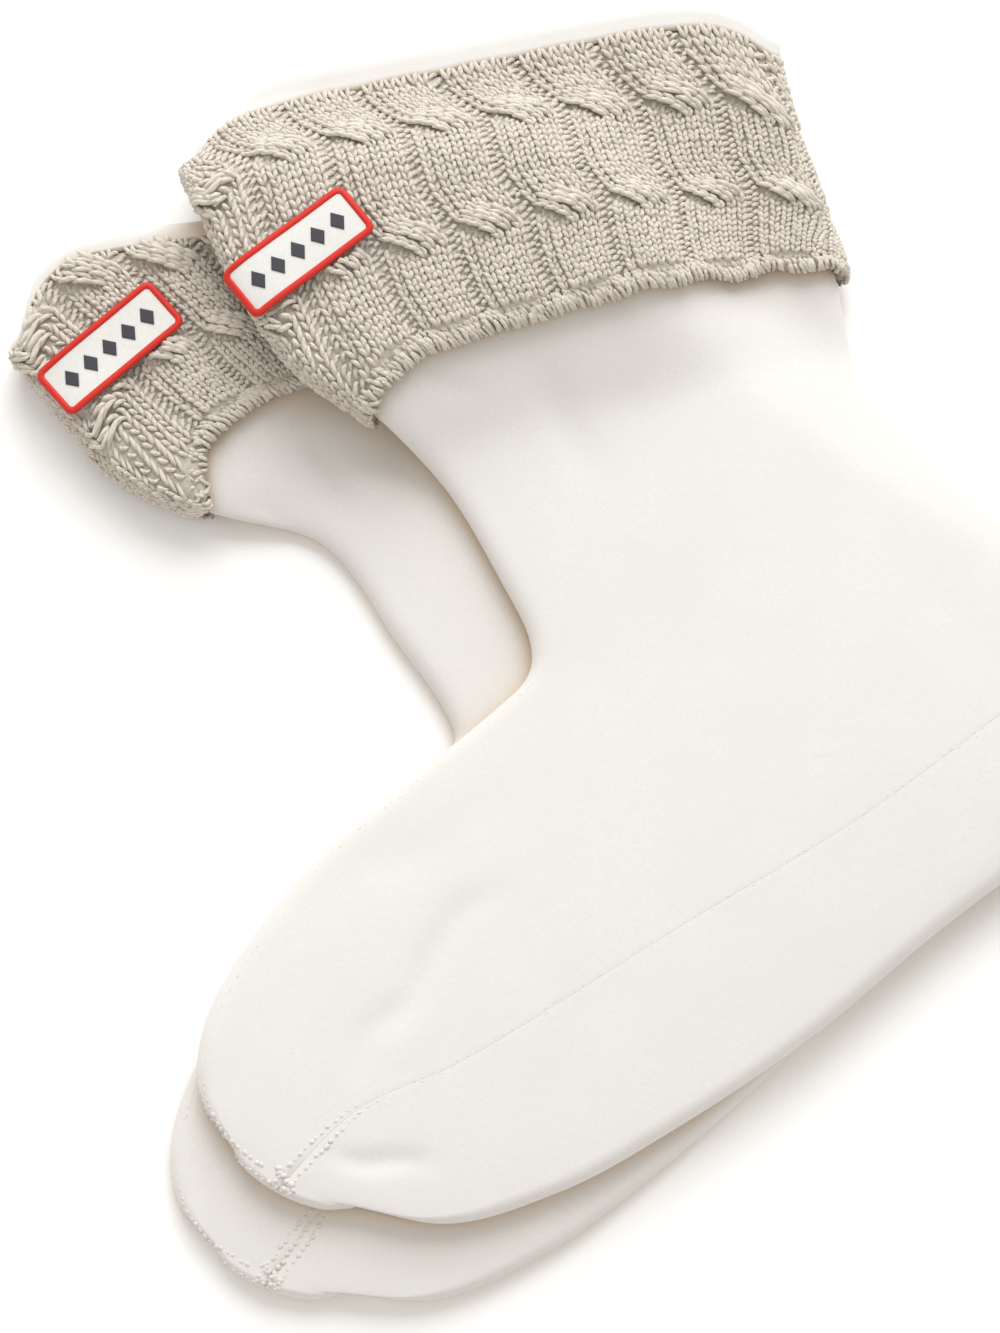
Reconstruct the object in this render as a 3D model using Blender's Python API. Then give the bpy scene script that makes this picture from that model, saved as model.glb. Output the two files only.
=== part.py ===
"""Pair of short fleece boot socks with turned-down cable-knit cuffs, laid flat one on the other.

Each sock is a flattened tube, lofted through rings. A ring starts at the front fold, crosses the
near side to the back fold and comes back underneath. The sections are the plan of the sock that
lies on top; the other sock is the same pattern, turned and moved, and the top one drapes over it.
The tables are in millimetres and the objects in metres, with +Z up and the floor at zero.
"""

import math
from collections import namedtuple

import bmesh
import bpy
import numpy as np
from mathutils import Vector
from mathutils.bvhtree import BVHTree

MM = 0.001
COLLECTION = "boot_sock_pair"

# Cloth
FLEECE = 2.6  # wall of the fleece
KNIT = 3.0  # wall of the knit without its cables
HOLLOW = 1.6  # between the two layers of fleece at the folds
LOOSE = 1.0  # between the cuff and the leg that it is folded over
SEAM = 0.6  # between the knit and the turned edge that it is sewn to
PART = 0.3  # between the sole and the upper
COME_DOWN = 26.0  # below the hem, over which the leg's far side comes down to what it lies on
EDGE_REACH = 4.5  # how far the round of a fold reaches into the sock

# Top edge
TOP_RIM = 7.0  # how far the fleece turns over, measured from the fold
BOTTOM_RIM = 5.0
SLIT_DEPTH = 3.6  # from the fold to the bottom of the slit behind the turned edge

# Toe
TOE_ROWS = 1  # rings of the toe's end past the end of the hollow
TOE_REACH = 2.2  # how far the round of the toe end reaches past the last section
TOE_SLANT = 1.5  # how far the ends of a ring come in for each millimetre that it reaches out
TOE_ROUND = (25, 50, 72)  # degrees at which the toe's round has a ring

# Sections of a sock: its two folds in plan, how far the section bows towards the leg's top and how
# much fuller that bow is towards the front, and its height
Section = namedtuple("Section", "name front_x front_y back_x back_y bow skew height")
TOP_LEG = (
    Section("fold", -81.1, 137.4, 73.6, 174.9, 18.5, 0.2, 7.2),
    Section("knit top", -81.9, 133.2, 73.6, 167.8, 14.0, 0.05, 7.4),
    Section("upper cuff", -76.7, 119.4, 78.0, 149.2, 13.0, 0.1, 7.6),
    Section("middle cuff", -66.5, 98.3, 82.9, 133.9, 12.0, 0.15, 7.8),
    Section("lower cuff", -51.1, 75.8, 87.5, 117.6, 10.5, 0.2, 8.0),
    Section("hem", -32.1, 62.3, 91.2, 105.7, 8.5, 0.3, 8.0),
    Section("shin", -15.7, 47.0, 96.6, 81.6, 4.0, 0.15, 8.2),
    Section("calf", 1.3, 18.4, 115.2, 57.1, 0.0, 0.0, 8.4),
    Section("ankle", 8.2, 2.2, 143.1, 32.2, 0.0, 0.0, 8.6),
)
BOTTOM_LEG = (
    Section("fold", -128.6, 89.5, 16.3, 129.0, 14.5, 0.8, 7.2),
    Section("knit top", -128.6, 86.0, 17.2, 125.5, 13.5, 0.8, 7.4),
    Section("upper cuff", -124.3, 79.0, 19.5, 120.5, 13.5, 0.7, 7.6),
    Section("middle cuff", -113.2, 65.8, 23.9, 112.8, 14.5, 0.55, 7.8),
    Section("lower cuff", -99.5, 50.8, 29.4, 105.1, 15.5, 0.4, 8.0),
    Section("hem", -77.7, 40.6, 35.1, 97.4, 16.5, 0.3, 8.0),
    Section("shin", -48.7, 33.5, 51.4, 82.4, 8.0, 0.15, 8.2),
    Section("calf", -27.1, 5.3, 74.1, 62.7, 0.0, 0.0, 8.4),
    Section("ankle", -14.3, -13.4, 108.5, 39.1, 0.0, 0.0, 8.6),
)
FOOT = (
    Section("heel top", 6.3, -6.9, 165.0, 11.0, 0.0, 0.0, 8.8),
    Section("heel", -0.8, -13.9, 171.4, -11.5, 0.0, 0.0, 9.0),
    Section("heel base", -11.8, -23.2, 164.4, -33.7, 0.0, 0.0, 9.0),
    Section("arch", -26.1, -35.1, 144.0, -49.6, 0.0, 0.0, 9.0),
    Section("instep", -44.1, -50.1, 114.3, -71.7, 0.0, 0.0, 9.0),
    Section("midfoot", -61.5, -70.2, 80.2, -99.5, 0.0, 0.0, 9.0),
    Section("ball", -74.0, -91.1, 45.9, -122.4, 0.0, 0.0, 8.8),
    Section("toes", -77.5, -106.2, 15.2, -139.0, -1.0, 0.0, 8.4),
    Section("toe tips", -75.0, -118.0, -15.2, -147.0, -2.5, 0.0, 7.8),
    Section("toe end", -68.5, -126.5, -36.5, -142.3, -4.0, 0.0, 7.2),
)
BOW_FLATNESS = 8  # exponent: the cuff's rows are straight across the middle and turn at the folds
TOE_FLATNESS = 2  # the same for the rows that bow towards the toe

# Line along the foot where the sole meets the upper, the same on both sides
SOLE_SEAM = (
    (-62.5, -147.0),
    (-56.0, -138.5),
    (-36.6, -119.0),
    (-12.7, -108.0),
    (6.4, -97.0),
    (46.6, -71.9),
    (90.6, -45.4),
    (126.9, -19.0),
    (154.7, 3.0),
    (184.5, 25.3),
)
SOLE_CUTTER_REACH = ((230.0, 24.0), (230.0, -190.0), (-62.0, -190.0))

# Soft folds pressed into the near side, as a trough from one point to another
Fold = namedtuple("Fold", "name start_x start_y end_x end_y width depth")
TOP_FOLDS = (
    Fold("under the hem", 9.9, 76.0, 23.1, 49.1, 9.0, 1.3),
    Fold("across the toes", -34.0, -103.0, -17.9, -82.1, 9.0, 1.4),
    Fold("along the foot", -14.0, -75.0, 2.6, -62.9, 9.0, 1.2),
    Fold("toe tuck", -36.4, -131.8, -20.5, -131.8, 4.5, 1.2),
    Fold("from the instep", 8.0, -4.0, 34.0, -12.0, 8.0, 1.4),
)
BOTTOM_FOLDS = (
    Fold("front of the shin", -66.0, 46.5, -52.0, 38.0, 5.0, 1.4),
    Fold("under the hem", -60.0, 64.0, -50.0, 48.0, 6.0, 1.3),
    Fold("from the instep", -14.0, -16.0, 12.0, -30.0, 8.0, 1.4),
)

# The foot of the sock underneath is the top one's, turned in degrees and moved
TOE_TIP = (-56.4, -137.7)
UNDER_TURN = 6.8
UNDER_TOE_TIP = (-60.0, -161.5)
PAIR_CENTRE = (19.5, 9.0)  # middle of the pair's plan, which becomes the origin

# Rings of the fleece
EDGE_STEPS = 2  # from the fold to the end of its round
FLAT_STEPS = 12  # across the flat of one side
CROWDING = 0.6  # how much closer those steps are beside the folds than in the middle
ROW_STEP = 18.0  # between two rings of the outer surface
CUFF_STEPS = 6  # between the rings that the leg shares with the inside of its cuff
RIM_FLAT = 0.6  # from the end of that round to the next ring
RIM_ROUND = (45, 90, 135)  # degrees at which the turned edge's round has a ring

# Cable knit: stitches are counted from the front fold, rows from the sewn edge
STITCHES_ACROSS = 64  # on each side of the flat cuff
REPEAT = 8  # stitches in a repeat: a cable of six between two purl stitches
PURL = 2
CABLE_ROWS = 28
CROSSING_ROWS = (5.0, 16.5)  # rows at which the cables cross
CROSSING_SPAN = 3.2  # rows that a crossing takes
CABLE_HEIGHT = 1.5
CROSSING_HEIGHT = 1.1  # of the strand in front, over its cable
HOLLOW_DEPTH = 0.7  # beside the strand, where the other one goes behind it
REPEAT_START = 0.4  # repeats from the front fold to the first purl column, at the sewn edge
REPEAT_SLIP = -0.5  # repeats that the columns drift towards the front down to the hem
SPARE_STITCHES = 4  # past each fold, over which the cables fade out on the far side
FAR_STEP = 5  # stitches to a point on the plain far side
OUTER_ROWS = (2, 3.5, 5, 6.5, 8, 11, 14, 15.5, 17, 18.5, 20.5, 24, 28)
HEM_BEAD = 1.4  # how far the rolled hem stands out
HEM_WAVE = 0.2  # part of that by which it varies from cable to cable
HEM_ROLL = ((0.45, 0.75), (0.8, 1.0), (1.0, 0.7))  # parts of the roll's length and of its height
HEM_LENGTH = 5.0

# Patch on the front of the cuff
PATCH_SIZE = (40.0, 16.0)
PATCH_THICKNESS = 1.2
PATCH_BORDER = (1.8, 0.5)  # width and height of the raised border
PATCH_STEPS = (12, 6)
PATCH_CORNER = 8  # exponent of the outline: the higher, the squarer
PatchPlace = namedtuple("PatchPlace", "x y turn")
TOP_PATCH = PatchPlace(-52.9, 103.2, 38.0)
BOTTOM_PATCH = PatchPlace(-104.0, 82.8, 41.0)

# Draping of what lies on something else: reach of its stiffness and the step of the height grid
GRID_STEP = 3.0
SOCK_REACH = (18.0, 15.0)
SOCK_CLEARANCE = 0.6
PATCH_REACH = (9.0, 6.0)
PATCH_CLEARANCE = 0.5

FLEECE_COLOUR = (0.86, 0.83, 0.77, 1.0)
KNIT_COLOUR = (0.52, 0.47, 0.39, 1.0)
PATCH_COLOUR = (0.85, 0.84, 0.80, 1.0)


def through(knots, rows, at):
    """Values of a smooth curve through the rows, a row for each knot."""
    slopes = np.gradient(rows, knots, axis=0)
    before = np.clip(np.searchsorted(knots, at) - 1, 0, len(knots) - 2)
    span = (knots[before + 1] - knots[before])[:, None]
    t = (np.asarray(at) - knots[before])[:, None] / span
    return (
        (1 + 2 * t) * (1 - t) ** 2 * rows[before]
        + t * (1 - t) ** 2 * span * slopes[before]
        + t * t * (3 - 2 * t) * rows[before + 1]
        + t * t * (t - 1) * span * slopes[before + 1]
    )


def smoothstep(t):
    t = np.clip(t, 0.0, 1.0)
    return t * t * (3 - 2 * t)


def turned(plan, about, degrees):
    """Points of a plan, turned anticlockwise about one of them."""
    cos, sin = math.cos(math.radians(degrees)), math.sin(math.radians(degrees))
    x, y = (np.asarray(plan, float) - about).T
    return np.column_stack([x * cos - y * sin, x * sin + y * cos]) + about


def under(plan):
    """Points of the top sock's foot where the foot underneath has them."""
    return turned(plan, TOE_TIP, UNDER_TURN) + np.subtract(UNDER_TOE_TIP, TOE_TIP)


def under_foot():
    """The sections of the foot underneath."""
    made = []
    for section in FOOT:
        (front_x, front_y), (back_x, back_y) = under([section[1:3], section[3:5]])
        made.append(Section(section.name, front_x, front_y, back_x, back_y, *section[5:]))
    return tuple(made)


class Sock:
    """One sock of the pair: its sections with how far down the sock each is, and its details."""

    def __init__(self, name, sections, sole_seam, folds, rim, patch):
        self.name, self.folds, self.rim, self.patch = name, folds, rim, patch
        self.rows = np.array([section[1:] for section in sections])
        self.sole_seam = np.array(sole_seam)
        front, back = np.diff(self.rows[:, 0:2], axis=0), np.diff(self.rows[:, 2:4], axis=0)
        steps = np.maximum(np.hypot(*front.T), np.hypot(*back.T))
        self.knots = np.concatenate([[0.0], np.cumsum(steps)])
        self.length = self.knots[-1]
        self.hem = self.knots[[section.name for section in sections].index("hem")]
        self.knit = rim + SEAM
        self.under_cuff = np.linspace(self.knit, self.hem, CUFF_STEPS + 1)

    def section(self, down):
        return through(self.knots, self.rows, [down])[0]

    def lift(self, down):
        """Height of the leg's far side: it lies on the cuff's far wall and comes down below it."""
        return (KNIT + LOOSE) * (1 - smoothstep((down - self.hem) / COME_DOWN))

    def pressed(self, x, y):
        """Depth of the soft folds at points of the near side."""
        depth = np.zeros_like(x)
        for fold in self.folds:
            run = np.array([fold.end_x - fold.start_x, fold.end_y - fold.start_y])
            t = ((x - fold.start_x) * run[0] + (y - fold.start_y) * run[1]) / (run @ run)
            near = np.clip(t, 0.0, 1.0)
            away = np.hypot(x - fold.start_x - near * run[0], y - fold.start_y - near * run[1])
            depth += fold.depth * np.exp(-((away / fold.width) ** 2))
        return depth


class Ring:
    """One ring of the flattened tube, at a distance down the sock and outside its fleece."""

    def __init__(self, sock, down, out, squeeze=1.0, forward=0.0):
        values = sock.section(down)
        self.front, back = values[0:2], values[2:4]
        self.bow, self.skew, height = values[4:7]
        chord = back - self.front
        self.width = math.hypot(*chord)
        self.along = chord / self.width
        self.up = np.array([-self.along[1], self.along[0]])
        thin = 2 * FLEECE + HOLLOW
        reach = min(EDGE_REACH + out, self.width / 2)
        self.inset = (1 - squeeze) * reach + TOE_SLANT * forward - out
        self.span = self.width - 2 * self.inset
        self.reach = min(reach, self.span / 2)
        self.half = (thin / 2 + out) * squeeze
        self.crown = (height - thin) * squeeze
        self.middle = thin / 2 + sock.lift(down)
        self.forward = forward
        self.pressed = sock.pressed
        self.quarter = math.pi / 2 * math.hypot(self.reach, self.half) / math.sqrt(2)
        self.side = 2 * self.quarter + self.span - 2 * self.reach

    def stops(self):
        """Distances round the ring that follow the folds closely and cross the flats evenly."""
        edge = np.linspace(0.0, self.quarter, EDGE_STEPS, endpoint=False)
        part = np.linspace(0.0, 1.0, FLAT_STEPS + 1)
        part -= CROWDING * np.sin(2 * math.pi * part) / (2 * math.pi)
        flat = self.quarter + (self.side - 2 * self.quarter) * part
        near = np.concatenate([edge, flat, self.side - edge[::-1]])[:-1]
        return np.concatenate([near, near + self.side])

    def points(self, stops, raised=0.0):
        """Points at distances from the front fold, across the near side and back underneath."""
        stops = np.mod(stops, 2 * self.side)
        far = stops > self.side
        along = np.where(far, 2 * self.side - stops, stops)
        from_edge = np.minimum(along, self.side - along)
        turn = np.clip(from_edge / self.quarter, 0.0, 1.0) * math.pi / 2
        inward = self.reach * (1 - np.cos(turn)) + np.maximum(from_edge - self.quarter, 0.0)
        facing = np.where(along < self.side / 2, -1.0, 1.0)
        across = np.where(facing < 0, inward, self.span - inward) + self.inset
        across = across + facing * np.cos(turn) * raised
        height = np.where(far, -1.0, 1.0) * np.sin(turn) * (self.half + raised)
        part = np.clip(across / self.width, 0.0, 1.0)
        flatness = BOW_FLATNESS if self.bow > 0 else TOE_FLATNESS
        bow = self.bow * (1 - np.abs(2 * part - 1) ** flatness) * (1 + self.skew * (1 - 2 * part))
        up = bow - self.forward
        plan = self.front + across[:, None] * self.along + up[:, None] * self.up
        near = np.where(far, 0.0, np.sin(turn))
        soft = self.crown * np.sin(math.pi * part) ** 0.7 - self.pressed(plan[:, 0], plan[:, 1])
        return np.column_stack([plan, self.middle + height + near * soft])


def fleece_rings(sock):
    """Rings of one sock's fleece: outside from the toe up, over the turned edge, inside and down."""
    rings = []
    for angle in reversed(TOE_ROUND):
        squeeze, forward = math.cos(math.radians(angle)), math.sin(math.radians(angle))
        rings.append(Ring(sock, sock.length, 0.0, squeeze, forward * TOE_REACH))
    below = np.linspace(sock.hem, sock.length, round((sock.length - sock.hem) / ROW_STEP))
    rings += [Ring(sock, down, 0.0) for down in below[::-1]]
    rings += [Ring(sock, down, 0.0) for down in (*sock.under_cuff[-2::-1], SLIT_DEPTH)]
    rings += [Ring(sock, down, LOOSE) for down in (SLIT_DEPTH, sock.rim)]
    outer, inner = LOOSE + KNIT, -FLEECE
    middle, radius = (outer + inner) / 2, (outer - inner) / 2
    rings += [Ring(sock, down, outer) for down in (sock.rim, radius + RIM_FLAT)]
    for angle in RIM_ROUND:
        turn = math.radians(angle)
        rings.append(Ring(sock, radius * (1 - math.sin(turn)), middle + radius * math.cos(turn)))
    rings += [Ring(sock, down, inner) for down in (radius, *sock.under_cuff[:-1])]
    rings += [Ring(sock, down, inner) for down in below[:-TOE_ROWS]]
    return rings


def placed(points, rest):
    """Points about the pair's middle, lifted by what the sock lies on."""
    x, y = (points[:, :2] - PAIR_CENTRE).T
    return np.column_stack([x, y, points[:, 2] + rest(x, y)])


def loft(rings, closed):
    """Faces between rings of equal count, with the last ring joined to the first if closed."""
    count = len(rings[0])
    faces = []
    for row in range(len(rings) if closed else len(rings) - 1):
        here, there = row * count, (row + 1) % len(rings) * count
        for k in range(count):
            following = (k + 1) % count
            faces.append((here + k, there + k, there + following, here + following))
    return faces


def ladder(start, count, outward):
    """Faces that close a flat ring, from its near side to its far side."""
    faces = []
    for k in range(count // 2):
        left, right = k, k + 1
        face = [left, right, count - right, (count - left) % count]
        face = [start + point for point in dict.fromkeys(face)]
        faces.append(face if outward else face[::-1])
    return faces


def add_object(name, points, faces, material):
    mesh = bpy.data.meshes.new(name)
    mesh.from_pydata([tuple(point) for point in np.asarray(points) * MM], [], faces)
    mesh.materials.append(material)
    shell = bmesh.new()
    shell.from_mesh(mesh)
    bmesh.ops.recalc_face_normals(shell, faces=shell.faces)
    shell.to_mesh(mesh)
    shell.free()
    mesh.shade_smooth()
    made = bpy.data.objects.new(name, mesh)
    bpy.data.collections[COLLECTION].objects.link(made)
    return made


def add_sole_cutter(name, seam, grow):
    """Upright block over the sole's plan, its seam side moved towards the upper by grow."""
    knots = np.arange(len(seam), dtype=float)
    line = through(knots, seam, np.linspace(0, knots[-1], 3 * len(seam)))
    tangent = np.gradient(line, axis=0)
    normal = np.column_stack([-tangent[:, 1], tangent[:, 0]])
    line = line + grow * normal / np.linalg.norm(normal, axis=1)[:, None]
    outline = np.concatenate([line, SOLE_CUTTER_REACH])
    flat = placed(np.column_stack([outline, np.zeros(len(outline))]), level)
    block = bmesh.new()
    face = block.faces.new([block.verts.new(Vector(point) * MM) for point in flat])
    grown = bmesh.ops.extrude_face_region(block, geom=[face])["geom"]
    verts = [item for item in grown if isinstance(item, bmesh.types.BMVert)]
    bmesh.ops.translate(block, verts=verts, vec=(0, 0, 0.1))
    bmesh.ops.translate(block, verts=block.verts, vec=(0, 0, -0.02))
    bmesh.ops.recalc_face_normals(block, faces=block.faces)
    mesh = bpy.data.meshes.new(name)
    block.to_mesh(mesh)
    block.free()
    cutter = bpy.data.objects.new(name, mesh)
    cutter.hide_render = True
    cutter.display_type = "WIRE"
    bpy.data.collections["cutters"].objects.link(cutter)
    return cutter


def cut(made, cutter, operation):
    boolean = made.modifiers.new(cutter.name, "BOOLEAN")
    boolean.object = cutter
    boolean.operation = operation


def add_fleece(sock, rest, material):
    """The upper and the sole, which are the sock's fleece cut along the seam of the sole."""
    rows = [placed(ring.points(ring.stops()), rest) for ring in fleece_rings(sock)]
    count = len(rows[0])
    faces = loft(rows, closed=False)
    faces += ladder(0, count, outward=False)
    faces += ladder((len(rows) - 1) * count, count, outward=True)
    points = np.concatenate(rows)
    upper = add_object(sock.name + "_upper", points, faces, material)
    sole = add_object(sock.name + "_sole", points, faces, material)
    cut(upper, add_sole_cutter(upper.name + "_cutter", sock.sole_seam, PART), "DIFFERENCE")
    cut(sole, add_sole_cutter(sole.name + "_cutter", sock.sole_seam, 0.0), "INTERSECT")
    return [upper, sole]


def cable_relief(stitch, row):
    """Height of the cables over the plain knit at a stitch and a row."""
    repeat = stitch / REPEAT
    across = (repeat - math.floor(repeat)) * REPEAT
    if across < PURL:
        return 0.0
    cable = (REPEAT - PURL) / 2
    x = (across - PURL) / cable - 1  # from -1 to 1 across the cable
    relief = CABLE_HEIGHT * (1 - abs(x) ** 4)
    for crossing in CROSSING_ROWS:
        y = (row - crossing) / CROSSING_SPAN
        behind = math.copysign(0.7, -y)  # where the strand that passes behind comes out
        front = ((x - 0.9 * y) / 0.75) ** 2 + (y / 0.8) ** 2
        hollow = ((x - behind) / 0.5) ** 2 + ((abs(y) - 0.75) / 0.4) ** 2
        relief += CROSSING_HEIGHT * math.exp(-(front**2)) - HOLLOW_DEPTH * math.exp(-hollow)
    return max(relief, 0.0)


def near_weight(position):
    """One over the near side and the folds, and zero on the far side, which rests flat."""
    past = np.maximum(np.maximum(-position, position - STITCHES_ACROSS), 0.0)
    return 1 - smoothstep(past / SPARE_STITCHES)


def zip_rings(fine, coarse, fine_start, coarse_start):
    """Faces between two rings of unlike counts, given how far round each of their points lies."""
    ahead = (coarse - fine[0] + 0.5) % 1 - 0.5
    first = int(np.argmin(np.abs(ahead)))
    order = [(first + j) % len(coarse) for j in range(len(coarse) + 1)]
    coarse_at = fine[0] + ahead[first] + (coarse[order] - coarse[first]) % 1
    coarse_at[-1] += 1
    fine_at = np.append(fine, fine[0] + 1)
    faces = []
    i = j = 0
    while i < len(fine) or j < len(coarse):
        here = fine_start + i % len(fine), coarse_start + order[j]
        if j == len(coarse) or i < len(fine) and fine_at[i + 1] <= coarse_at[j + 1]:
            i += 1
            faces.append((*here, fine_start + i % len(fine)))
        else:
            j += 1
            faces.append((*here, coarse_start + order[j]))
    return faces


def add_cuff(sock, rest, material):
    """The knit tube: its outside down to the rolled hem, and its plain inside back up."""
    last = STITCHES_ACROSS + 2 * SPARE_STITCHES
    close = np.arange(-SPARE_STITCHES, last + 1, dtype=float)
    wide = np.arange(last + FAR_STEP, 2 * STITCHES_ACROSS - SPARE_STITCHES - 1, FAR_STEP)
    stitches = np.concatenate([close, wide])
    start = REPEAT * REPEAT_START
    length = sock.hem - HEM_LENGTH - sock.knit

    def ring(row, bead=0.0, below=0.0):
        slip = REPEAT * REPEAT_SLIP * row / CABLE_ROWS
        made = Ring(sock, sock.knit + length * row / CABLE_ROWS + below, KNIT + LOOSE)
        weight = near_weight(stitches + slip)
        cables = np.array([cable_relief(stitch - start, row) for stitch in stitches])
        wave = 1 + HEM_WAVE * np.cos(2 * math.pi * (stitches - start) / REPEAT)
        raised = weight * (cables * (1 - below / HEM_LENGTH) + bead * wave)
        return made.points((stitches + slip) / STITCHES_ACROSS * made.side, raised)

    def plain(down, out):
        made = Ring(sock, down, out)
        return made.points(made.stops()), made.stops() / made.side / 2

    fine = stitches / STITCHES_ACROSS / 2
    rings = [ring(row) for row in OUTER_ROWS]
    hem = OUTER_ROWS[-1]
    for along, height in HEM_ROLL:
        rings.append(ring(hem, HEM_BEAD * height, along * HEM_LENGTH))
    inside = [plain(down, LOOSE) for down in sock.under_cuff[::-1]]
    inside.append(plain(sock.knit, KNIT + LOOSE))
    count, coarse_start = len(stitches), len(rings) * len(stitches)
    faces = loft(rings, closed=False)
    slipped = fine + REPEAT * REPEAT_SLIP * hem / CABLE_ROWS / STITCHES_ACROSS / 2
    faces += zip_rings(slipped, inside[0][1], coarse_start - count, coarse_start)
    inner_count = len(inside[0][1])
    for face in loft([points for points, _ in inside], closed=False):
        faces.append(tuple(coarse_start + point for point in face))
    faces += zip_rings(fine, inside[-1][1], 0, coarse_start + (len(inside) - 1) * inner_count)
    points = np.concatenate(rings + [points for points, _ in inside])
    return add_object(sock.name + "_cuff", placed(points, rest), faces, material)


def add_patch(sock, rest, material):
    """A stiff patch with a raised border, which bridges the cables under it."""
    across, up = (np.linspace(-1, 1, steps + 1) for steps in PATCH_STEPS)
    u, v = (part.ravel() for part in np.meshgrid(across, up))
    square = np.maximum(np.abs(u), np.abs(v))
    round_by = (np.abs(u) ** PATCH_CORNER + np.abs(v) ** PATCH_CORNER) ** (1 / PATCH_CORNER)
    shrink = np.where(square > 0, square / np.where(round_by > 0, round_by, 1.0), 1.0)
    x, y = u * shrink * PATCH_SIZE[0] / 2, v * shrink * PATCH_SIZE[1] / 2
    plan = turned(np.column_stack([x, y]), (0.0, 0.0), sock.patch.turn) + sock.patch[:2]
    under = placed(np.column_stack([plan, np.zeros(len(plan))]), rest)
    edge = np.minimum((1 - np.abs(u)) * PATCH_SIZE[0], (1 - np.abs(v)) * PATCH_SIZE[1]) / 2
    over = under + np.array([0, 0, PATCH_THICKNESS])
    over[:, 2] += PATCH_BORDER[1] * (edge < PATCH_BORDER[0])
    wide, tall = PATCH_STEPS[0] + 1, PATCH_STEPS[1] + 1
    count = wide * tall
    faces = []
    for row in range(tall - 1):
        for column in range(wide - 1):
            corner = row * wide + column
            face = (corner, corner + 1, corner + wide + 1, corner + wide)
            faces += [face, tuple(point + count for point in reversed(face))]
    rim = list(range(wide))
    rim += [row * wide + wide - 1 for row in range(1, tall)]
    rim += [(tall - 1) * wide + column for column in reversed(range(wide - 1))]
    rim += [row * wide for row in reversed(range(1, tall - 1))]
    for here, there in zip(rim, rim[1:] + rim[:1]):
        faces.append((here, here + count, there + count, there))
    return add_object(sock.name + "_patch", np.concatenate([under, over]), faces, material)


def level(x, y):
    """What a sock lies on when it lies on the floor."""
    return np.zeros_like(x)


def disk(radius):
    """Grid offsets within a radius."""
    reach = int(radius // GRID_STEP)
    steps = range(-reach, reach + 1)
    return [(i, j) for i in steps for j in steps if math.hypot(i, j) * GRID_STEP <= radius]


def on_top_of(objects, reach, clearance):
    """Height at which soft cloth lies over the objects: their height field, widened and smoothed."""
    graph = bpy.context.evaluated_depsgraph_get()
    trees = [BVHTree.FromObject(made, graph) for made in objects]
    widen, smooth = disk(reach[0]), disk(reach[1])
    margin = int(sum(reach) // GRID_STEP) + 3
    corners = np.array([corner[:] for made in objects for corner in made.bound_box]) / MM
    start = np.floor(corners.min(axis=0)[:2] / GRID_STEP) - margin
    size = np.ceil(corners.max(axis=0)[:2] / GRID_STEP).astype(int) + margin - start.astype(int)
    field = np.zeros(size)
    above = corners.max() * MM
    for i in range(size[0]):
        for j in range(size[1]):
            x, y = (start + (i, j)) * GRID_STEP * MM
            hits = [tree.ray_cast(Vector((x, y, above)), Vector((0, 0, -1)))[0] for tree in trees]
            field[i, j] = max((hit.z / MM + clearance for hit in hits if hit), default=0.0)
    field = np.max([np.roll(field, offset, axis=(0, 1)) for offset in widen], axis=0)
    field = np.mean([np.roll(field, offset, axis=(0, 1)) for offset in smooth], axis=0)

    def height(x, y):
        place = np.column_stack([x, y]) / GRID_STEP - start
        place = np.clip(place, 1.0, np.array(size) - 2.001)
        cell = place.astype(int)
        weights = []
        for t in (place - cell).T:
            weights.append(((1 - t) ** 3, 3 * t**3 - 6 * t**2 + 4, 3 * t + 3 * t**2 - 3 * t**3 + 1, t**3))
        total = np.zeros(len(place))
        for i in range(4):
            for j in range(4):
                share = weights[0][i] * weights[1][j] / 36
                total += share * field[cell[:, 0] + i - 1, cell[:, 1] + j - 1]
        return total

    return height


def make_material(name, colour, roughness):
    material = bpy.data.materials.new(name)
    material.use_nodes = True
    shader = material.node_tree.nodes["Principled BSDF"]
    shader.inputs["Base Color"].default_value = colour
    shader.inputs["Roughness"].default_value = roughness
    return material


def add_sock(sock, rest, fleece, knit, patch):
    cloth = add_fleece(sock, rest, fleece)
    cloth.append(add_cuff(sock, rest, knit))
    bpy.context.view_layer.update()
    over_cuff = on_top_of(cloth[-1:], PATCH_REACH, PATCH_CLEARANCE)
    return [*cloth, add_patch(sock, over_cuff, patch)]


def main():
    for startup in list(bpy.data.objects):
        bpy.data.objects.remove(startup)
    for name in (COLLECTION, "cutters"):
        bpy.context.scene.collection.children.link(bpy.data.collections.new(name))
    fleece = make_material("cream_fleece", FLEECE_COLOUR, 0.95)
    knit = make_material("oatmeal_knit", KNIT_COLOUR, 0.9)
    patch = make_material("patch_face", PATCH_COLOUR, 0.5)
    bottom = Sock(
        "bottom_sock",
        BOTTOM_LEG + under_foot(),
        under(SOLE_SEAM),
        BOTTOM_FOLDS,
        BOTTOM_RIM,
        BOTTOM_PATCH,
    )
    top = Sock("top_sock", TOP_LEG + FOOT, SOLE_SEAM, TOP_FOLDS, TOP_RIM, TOP_PATCH)
    pieces = add_sock(bottom, level, fleece, knit, patch)
    bpy.context.view_layer.update()
    add_sock(top, on_top_of(pieces, SOCK_REACH, SOCK_CLEARANCE), fleece, knit, patch)


main()
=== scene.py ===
"""A pair of short fleece boot socks with turned-down cable-knit cuffs, one lying over the other."""

import math
from collections import namedtuple

import bpy
import numpy as np
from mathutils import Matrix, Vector
from mathutils.bvhtree import BVHTree


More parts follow.
